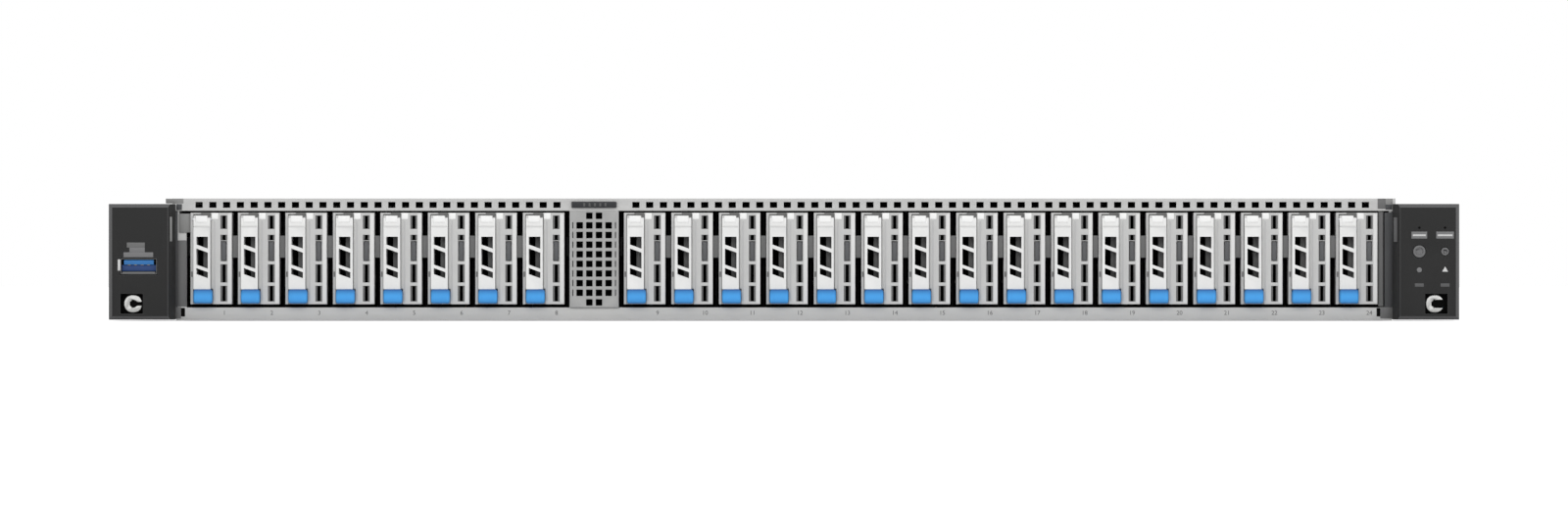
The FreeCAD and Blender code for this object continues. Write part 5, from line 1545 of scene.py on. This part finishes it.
@dataclass
class RearSide:
    """Rear wall, card cage, sockets and the two plug-in supplies.

    Numbers without a unit are in millimetres. Slabs of the cage start at the cage's rear, those of a
    supply at its low side and the rear wall's outer face.
    """

    plate_starts: tuple[int, int] = (-212, -132)
    plate_slots: tuple[int, ...] = tuple(range(9, 69, 5))
    plate_screw: float = 72.5
    cage_length_over: float = 150 * MM
    cage_rim: float = 2.2 * MM
    jacks: tuple[int, ...] = (-207, -191, -175, -159)
    jack: tuple[Slab, ...] = (
        Slab("jack_rim", (0, 13.4), (-0.1, 0.15), (7.8, 17.6), "steel", 0.1),
        # Painted shade: the jack's opening is a near-black slab.
        Slab("jack_hole", (1.2, 12.2), (0, 0.18), (8.8, 15.4), "void", 0.03),
        Slab("jack_lamp", (1.4, 3.4), (0, 0.18), (15.9, 16.9), "green_lamp", 0.05),
    )
    # Painted shade: each slot of a plate is a near-black slab.
    plate_slot: Slab = Slab("plate_slot", (0, 2.6), (-0.12, 0.03), (26, 35), "void", 0.04)
    video_width_over: float = 25 * MM
    data_height_under: float = 9 * MM
    guard_place: tuple[float, float, float] = (52.5 * MM, -1.2 * MM, 21 * MM)
    guard_rings: tuple[float, ...] = (6.0, 9.2, 12.4, 15.6)
    lamp_place: tuple[float, float, float] = (44 * MM, 0.0, 33 * MM)
    face_depth: float = 0.7 * MM
    mouth: tuple[float, float] = (15 * MM, 4.5 * MM)
    contact_length: float = 7.5 * MM
    side_slot_levels: tuple[float, ...] = (8, 12.6, 17.2)
    face_rib_levels: tuple[float, ...] = (11.8, 16.4, 21.0)

    def panel(self) -> None:
        """Refine the rear wall."""
        piece = Bench.node_copy("rear_panel", "rear_wall", "rear_sheet", 0.2 * MM)
        Bench.finish_node("rear_panel", "rear_wall", "chassis", "galvanised", [piece])

    def cage(self) -> None:
        """Refine the card cage with its slot plates and network sockets."""
        parts = dress_by_place(
            Bench.raw_copy("riser_cage", "riser"),
            lambda low, high: "sheet" if high.y - low.y > self.cage_length_over else "rear_sheet",
        )
        for part in parts:
            Bench.refine(part, 0.15 * MM)
            low, high = Bench.box_of(part)
            if high.y - low.y < self.cage_length_over:
                front = high.y - self.cage_rim
                Bench.paint(part, "board", lambda middle, normal: middle.y < front)
        rear = max(Bench.box_of(part)[1].y for part in parts)
        details = []
        for start in self.plate_starts:
            for left in self.plate_slots:
                details.append(self.plate_slot.make((start + left) * MM, rear))
            place = ((start + self.plate_screw) * MM, rear + 0.2 * MM, 30.5 * MM)
            screw = Bench.disc("plate_screw", place, Axis.Y, 2.6 * MM, 1.0 * MM, "screw", 0.3 * MM, 24)
            details.append(screw)
        for left in self.jacks:
            details += [slab.make(left * MM, rear) for slab in self.jack]
        Bench.finish_node("riser_cage", "card_cage", "chassis", "galvanised", parts + details)

    def ports(self) -> None:
        """Dress the board's rear sockets."""

        def finish(low: Vector, high: Vector) -> str:
            """Pick a finish by the socket's width."""
            return "blue_point" if high.x - low.x > self.video_width_over else "steel"

        parts = dress_by_place(Bench.raw_copy("rear_ports", "ports"), finish)
        extras = []
        for part in parts:
            low, high = Bench.box_of(part)
            Bench.refine(part, 0.12 * MM)
            if high.x - low.x > self.video_width_over:
                extras += self.video(low, high)
            elif high.z - low.z < self.data_height_under:
                inner = (high.x - low.x) / MM - 1.6
                tongue = Slab("data_tongue", (1.6, inner), (-8, -0.6), (3.8, 5.9), "usb", 0.15)
                extras.append(tongue.make(low.x, high.y, low.z))
        Bench.finish_node("rear_ports", "rear_sockets", "chassis", "socket", parts + extras)

    @staticmethod
    def video(low: Vector, high: Vector) -> list[bpy.types.Object]:
        """Make the pin holes and side nuts of the display socket."""
        pieces = []
        middle = (low.x + high.x) / 2
        for row in range(3):
            for column in range(5):
                x = middle + (column - 2 + 0.25 * (row % 2)) * 2.2 * MM
                place = (x, high.y, low.z + (3.9 + 2.1 * row) * MM)
                # Painted shade: each pin hole is a near-black disc.
                pin = Bench.disc("video_pin", place, Axis.Y, 0.45 * MM, 0.5 * MM, "void", 0.05 * MM, 12)
                pieces.append(pin)
        for x in (low.x + 3 * MM, high.x - 3 * MM):
            place = (x, high.y - 3 * MM, low.z + 6 * MM)
            pieces.append(Bench.disc("video_nut", place, Axis.Y, 2.3 * MM, 4.4 * MM, "steel", 0.2 * MM, 6))
        return pieces

    @staticmethod
    def guard_ring(radius: float, centre: Corner) -> bpy.types.Object:
        """Bend one wire ring of a fan guard."""
        bpy.ops.object.select_all(action="DESELECT")
        bpy.ops.mesh.primitive_torus_add(
            major_radius=radius * MM, minor_radius=0.5 * MM, major_segments=40, minor_segments=8,
            location=centre, rotation=(math.pi / 2, 0, 0),
        )
        ring = bpy.context.object
        Bench.settle(ring)
        Bench.smooth(ring)
        return Bench.dress(ring, "steel")

    def supply(self, number: int) -> None:
        """Dress one supply: case, dark face, wire guard, handle and lamp."""
        name = f"psu_{number}"
        parts = Bench.loose_parts(Bench.raw_copy(name, "supply"))
        case = max(parts, key=lambda part: Bench.box_of(part)[1].x - Bench.box_of(part)[0].x)
        low = Bench.box_of(case)[0]
        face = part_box("rear_panel")[1].y
        for part in parts:
            Bench.refine(part, 0.3 * MM)
            Bench.dress(part, "supply" if part == case else "handle")
        deep, shallow = (face - depth for depth in self.mouth)
        Bench.paint(case, "supply_face", lambda middle, normal: middle.y > face - self.face_depth)
        # Painted shade: the faces inside the supply's mouth are near-black.
        Bench.paint(case, "void", lambda middle, normal: deep < middle.y < shallow and abs(normal.y) > 0.4)
        Bench.paint(case, "contact", lambda middle, normal: middle.y < low.y + self.contact_length)
        hub, lamp_middle = (
            (low.x + x, face + y, z) for x, y, z in (self.guard_place, self.lamp_place)
        )
        rings = [self.guard_ring(radius, hub) for radius in self.guard_rings]
        lamp = Bench.disc(
            "supply_lamp", lamp_middle, Axis.Y, 1.4 * MM, 0.7 * MM, "green_lamp", 0.3 * MM, 20
        )
        slabs = [
            # Painted shade: each side slot is a near-black slab.
            Slab("side_slot", (31.5, 33.8), (-0.3, 0.02), (level, level + 2.6), "void", 0.05)
            for level in self.side_slot_levels
        ] + [
            Slab("face_rib", (38, 49), (-0.2, 0.12), (level, level + 1), "handle", 0.1)
            for level in self.face_rib_levels
        ]
        pieces = parts + rings + [lamp] + [slab.make(low.x, face) for slab in slabs]
        Bench.finish_node(name, f"supply_{number}", name, "supply", pieces)
        latch = f"{name}_latch"
        lever = Bench.node_copy(latch, f"supply_latch_{number}", "blue_point", 0.35 * MM, 3)
        Bench.finish_node(latch, f"supply_latch_{number}", latch, "latch", [lever])

    def build(self) -> None:
        """Build the rear side."""
        self.panel()
        self.cage()
        self.ports()
        for number in (1, 2):
            self.supply(number)


# ------------------------------------------------------------------ tray and lid


@dataclass
class Enclosure:
    """Tray with its rail studs and the lift-off lid with its latch."""

    lid_rivets: tuple[int, ...] = (-200, -70, 70, 200)
    rib_sides: tuple[tuple[int, int], ...] = ((-190, -60), (60, 190))
    rib_starts: tuple[int, ...] = (120, 250, 380)
    grip_count: int = 6

    def tray(self) -> None:
        """Refine the tray."""
        piece = Bench.node_copy("chassis_tray", "tray", "strip", 0.18 * MM)
        Bench.finish_node("chassis_tray", "tray", "chassis", "galvanised", [piece])

    def lid(self) -> None:
        """Refine the lid: pressed ribs and rivets."""
        piece = Bench.node_copy("top_cover", "lid", "sheet", 0.22 * MM)
        low, high = Bench.box_of(piece)
        for sides in self.rib_sides:
            for start in self.rib_starts:
                rib = Slab("rib_cutter", sides, (start, start + 5), (-0.35, 1), "sheet")
                Bench.cut(piece, rib.make(0, low.y, high.z))
        pieces = [piece]
        for x in self.lid_rivets:
            for y in (low.y + 8 * MM, high.y - 10 * MM):
                pieces.append(Bench.rivet("rivet", (x * MM, y, high.z)))
        Bench.keep_under(pieces, high.z)
        Bench.smooth(piece)
        Bench.finish_node("top_cover", "lid", "top_cover", "cover", pieces)

    def latch(self) -> None:
        """Refine the blue flap of the lid's latch, with a ribbed grip."""
        piece = Bench.node_copy("cover_latch", "lid_latch", "blue_point", 0.3 * MM, 3)
        low, high = Bench.box_of(piece)
        width = (high.x - low.x) / MM
        for rib in range(self.grip_count):
            start = 2.5 + 1.6 * rib
            groove = Slab("rib_cutter", (8, width - 8), (start, start + 0.7), (-0.35, 1), "blue_point")
            Bench.cut(piece, groove.make(low.x, low.y, high.z))
        Bench.finish_node("cover_latch", "lid_latch", "cover_latch", "latch", [piece])

    def build(self) -> None:
        """Build the tray, the lid and the latch."""
        self.tray()
        self.lid()
        self.latch()


# ------------------------------------------------------------------ studio


@dataclass
class Studio:
    """Pale floor, soft lamps, plain surroundings and the camera."""

    ambient: float = 0.62
    distance: float = 2.5
    field_width: float = 0.56
    view_height: float = 0.0212
    ear_plane: float = -0.031
    floor_glow: float = 0.55

    def world(self) -> None:
        """Give even light, and white where the camera or a gloss looks past the object."""
        world = bpy.data.worlds.new("surroundings")
        bpy.context.scene.world = world
        world.use_nodes = True
        nodes = Nodes(world.node_tree)
        path = nodes.add("ShaderNodeLightPath", {}, {})
        direct, glossy, clear = (
            Value(nodes, path.outputs[f"Is {kind} Ray"]) for kind in ("Camera", "Glossy", "Transmission")
        )
        seen = direct.most(glossy).most(clear)
        levels = {"Value": seen, "To Min": self.ambient, "To Max": 1.0}
        strength = nodes.value("ShaderNodeMapRange", {}, levels)
        background = nodes.value("ShaderNodeBackground", {}, {"Color": WHITE, "Strength": strength})
        nodes.add("ShaderNodeOutputWorld", {}, {"Surface": background})

    def floor(self) -> None:
        """Lay the floor: white to the camera, darker only under the object."""
        bpy.ops.object.select_all(action="DESELECT")
        bpy.ops.mesh.primitive_plane_add(size=6.0, location=(0, 0.2, -0.0004))
        floor = bpy.context.object
        floor.name = "floor"
        graph = Graph("floor_paper")
        cloud = graph.noise(1.6, (1, 1, 1), 2.0)
        graph.drive("Base Color", graph.mix(cloud, (0.80, 0.80, 0.80), (0.84, 0.84, 0.84)))
        graph.drive("Roughness", 0.9)
        seen = graph.value("ShaderNodeLightPath", {}, {}, "Is Camera Ray")
        glow = graph.value("ShaderNodeMapRange", {}, {"Value": seen, "To Max": self.floor_glow})
        graph.drive("Emission Color", WHITE)
        graph.drive("Emission Strength", glow)
        floor.data.materials.append(graph.material)

    def lamp(self, name: str, place: Corner, target: Corner, size: tuple[float, float], power: float) -> None:
        """Hang one soft lamp that looks at a point."""
        bpy.ops.object.select_all(action="DESELECT")
        bpy.ops.object.light_add(type="AREA", location=place)
        lamp = bpy.context.object
        lamp.name = name
        lamp.data.shape = "RECTANGLE"
        lamp.data.size, lamp.data.size_y = size
        lamp.data.energy = power
        lamp.visible_glossy = False
        lamp.rotation_euler = (Vector(target) - Vector(place)).to_track_quat("-Z", "Y").to_euler()

    def camera(self) -> None:
        """Set the long lens square to the front."""
        bpy.ops.object.select_all(action="DESELECT")
        bpy.ops.object.camera_add(
            location=(0, self.ear_plane - self.distance, self.view_height), rotation=(math.pi / 2, 0, 0)
        )
        camera = bpy.context.object
        camera.data.sensor_width = 36.0
        camera.data.lens = 36.0 * self.distance / self.field_width
        camera.data.clip_end = 60.0
        camera.data.clip_start = 0.01
        bpy.context.scene.camera = camera

    def build(self) -> None:
        """Set the whole studio."""
        self.camera()
        self.world()
        self.floor()
        self.lamp("key_lamp", (-0.7, -2.4, 1.5), (0, 0.1, 0.02), (1.8, 1.2), 28.0)
        self.lamp("fill_lamp", (1.5, -1.8, 1.0), (0, 0.1, 0.02), (1.4, 1.0), 12.0)
        self.lamp("rear_lamp", (0.8, 2.6, 1.6), (0, 0.4, 0.02), (1.8, 1.2), 22.0)
        bpy.context.scene.view_settings.view_transform = "Standard"


def main() -> None:
    """Build every part in order."""
    logging.basicConfig(level=logging.INFO, format="%(message)s")
    bpy.ops.object.select_all(action="DESELECT")
    parts = (
        Studio(), Enclosure(), FrontSheet(), DriveBays(), LeftEar(), RightEar(), Cooling(), Electronics(),
        RearSide(),
    )
    for part in parts:
        part.build()
        LOG.info("built %s", type(part).__name__)


if __name__ == "__main__":
    main()
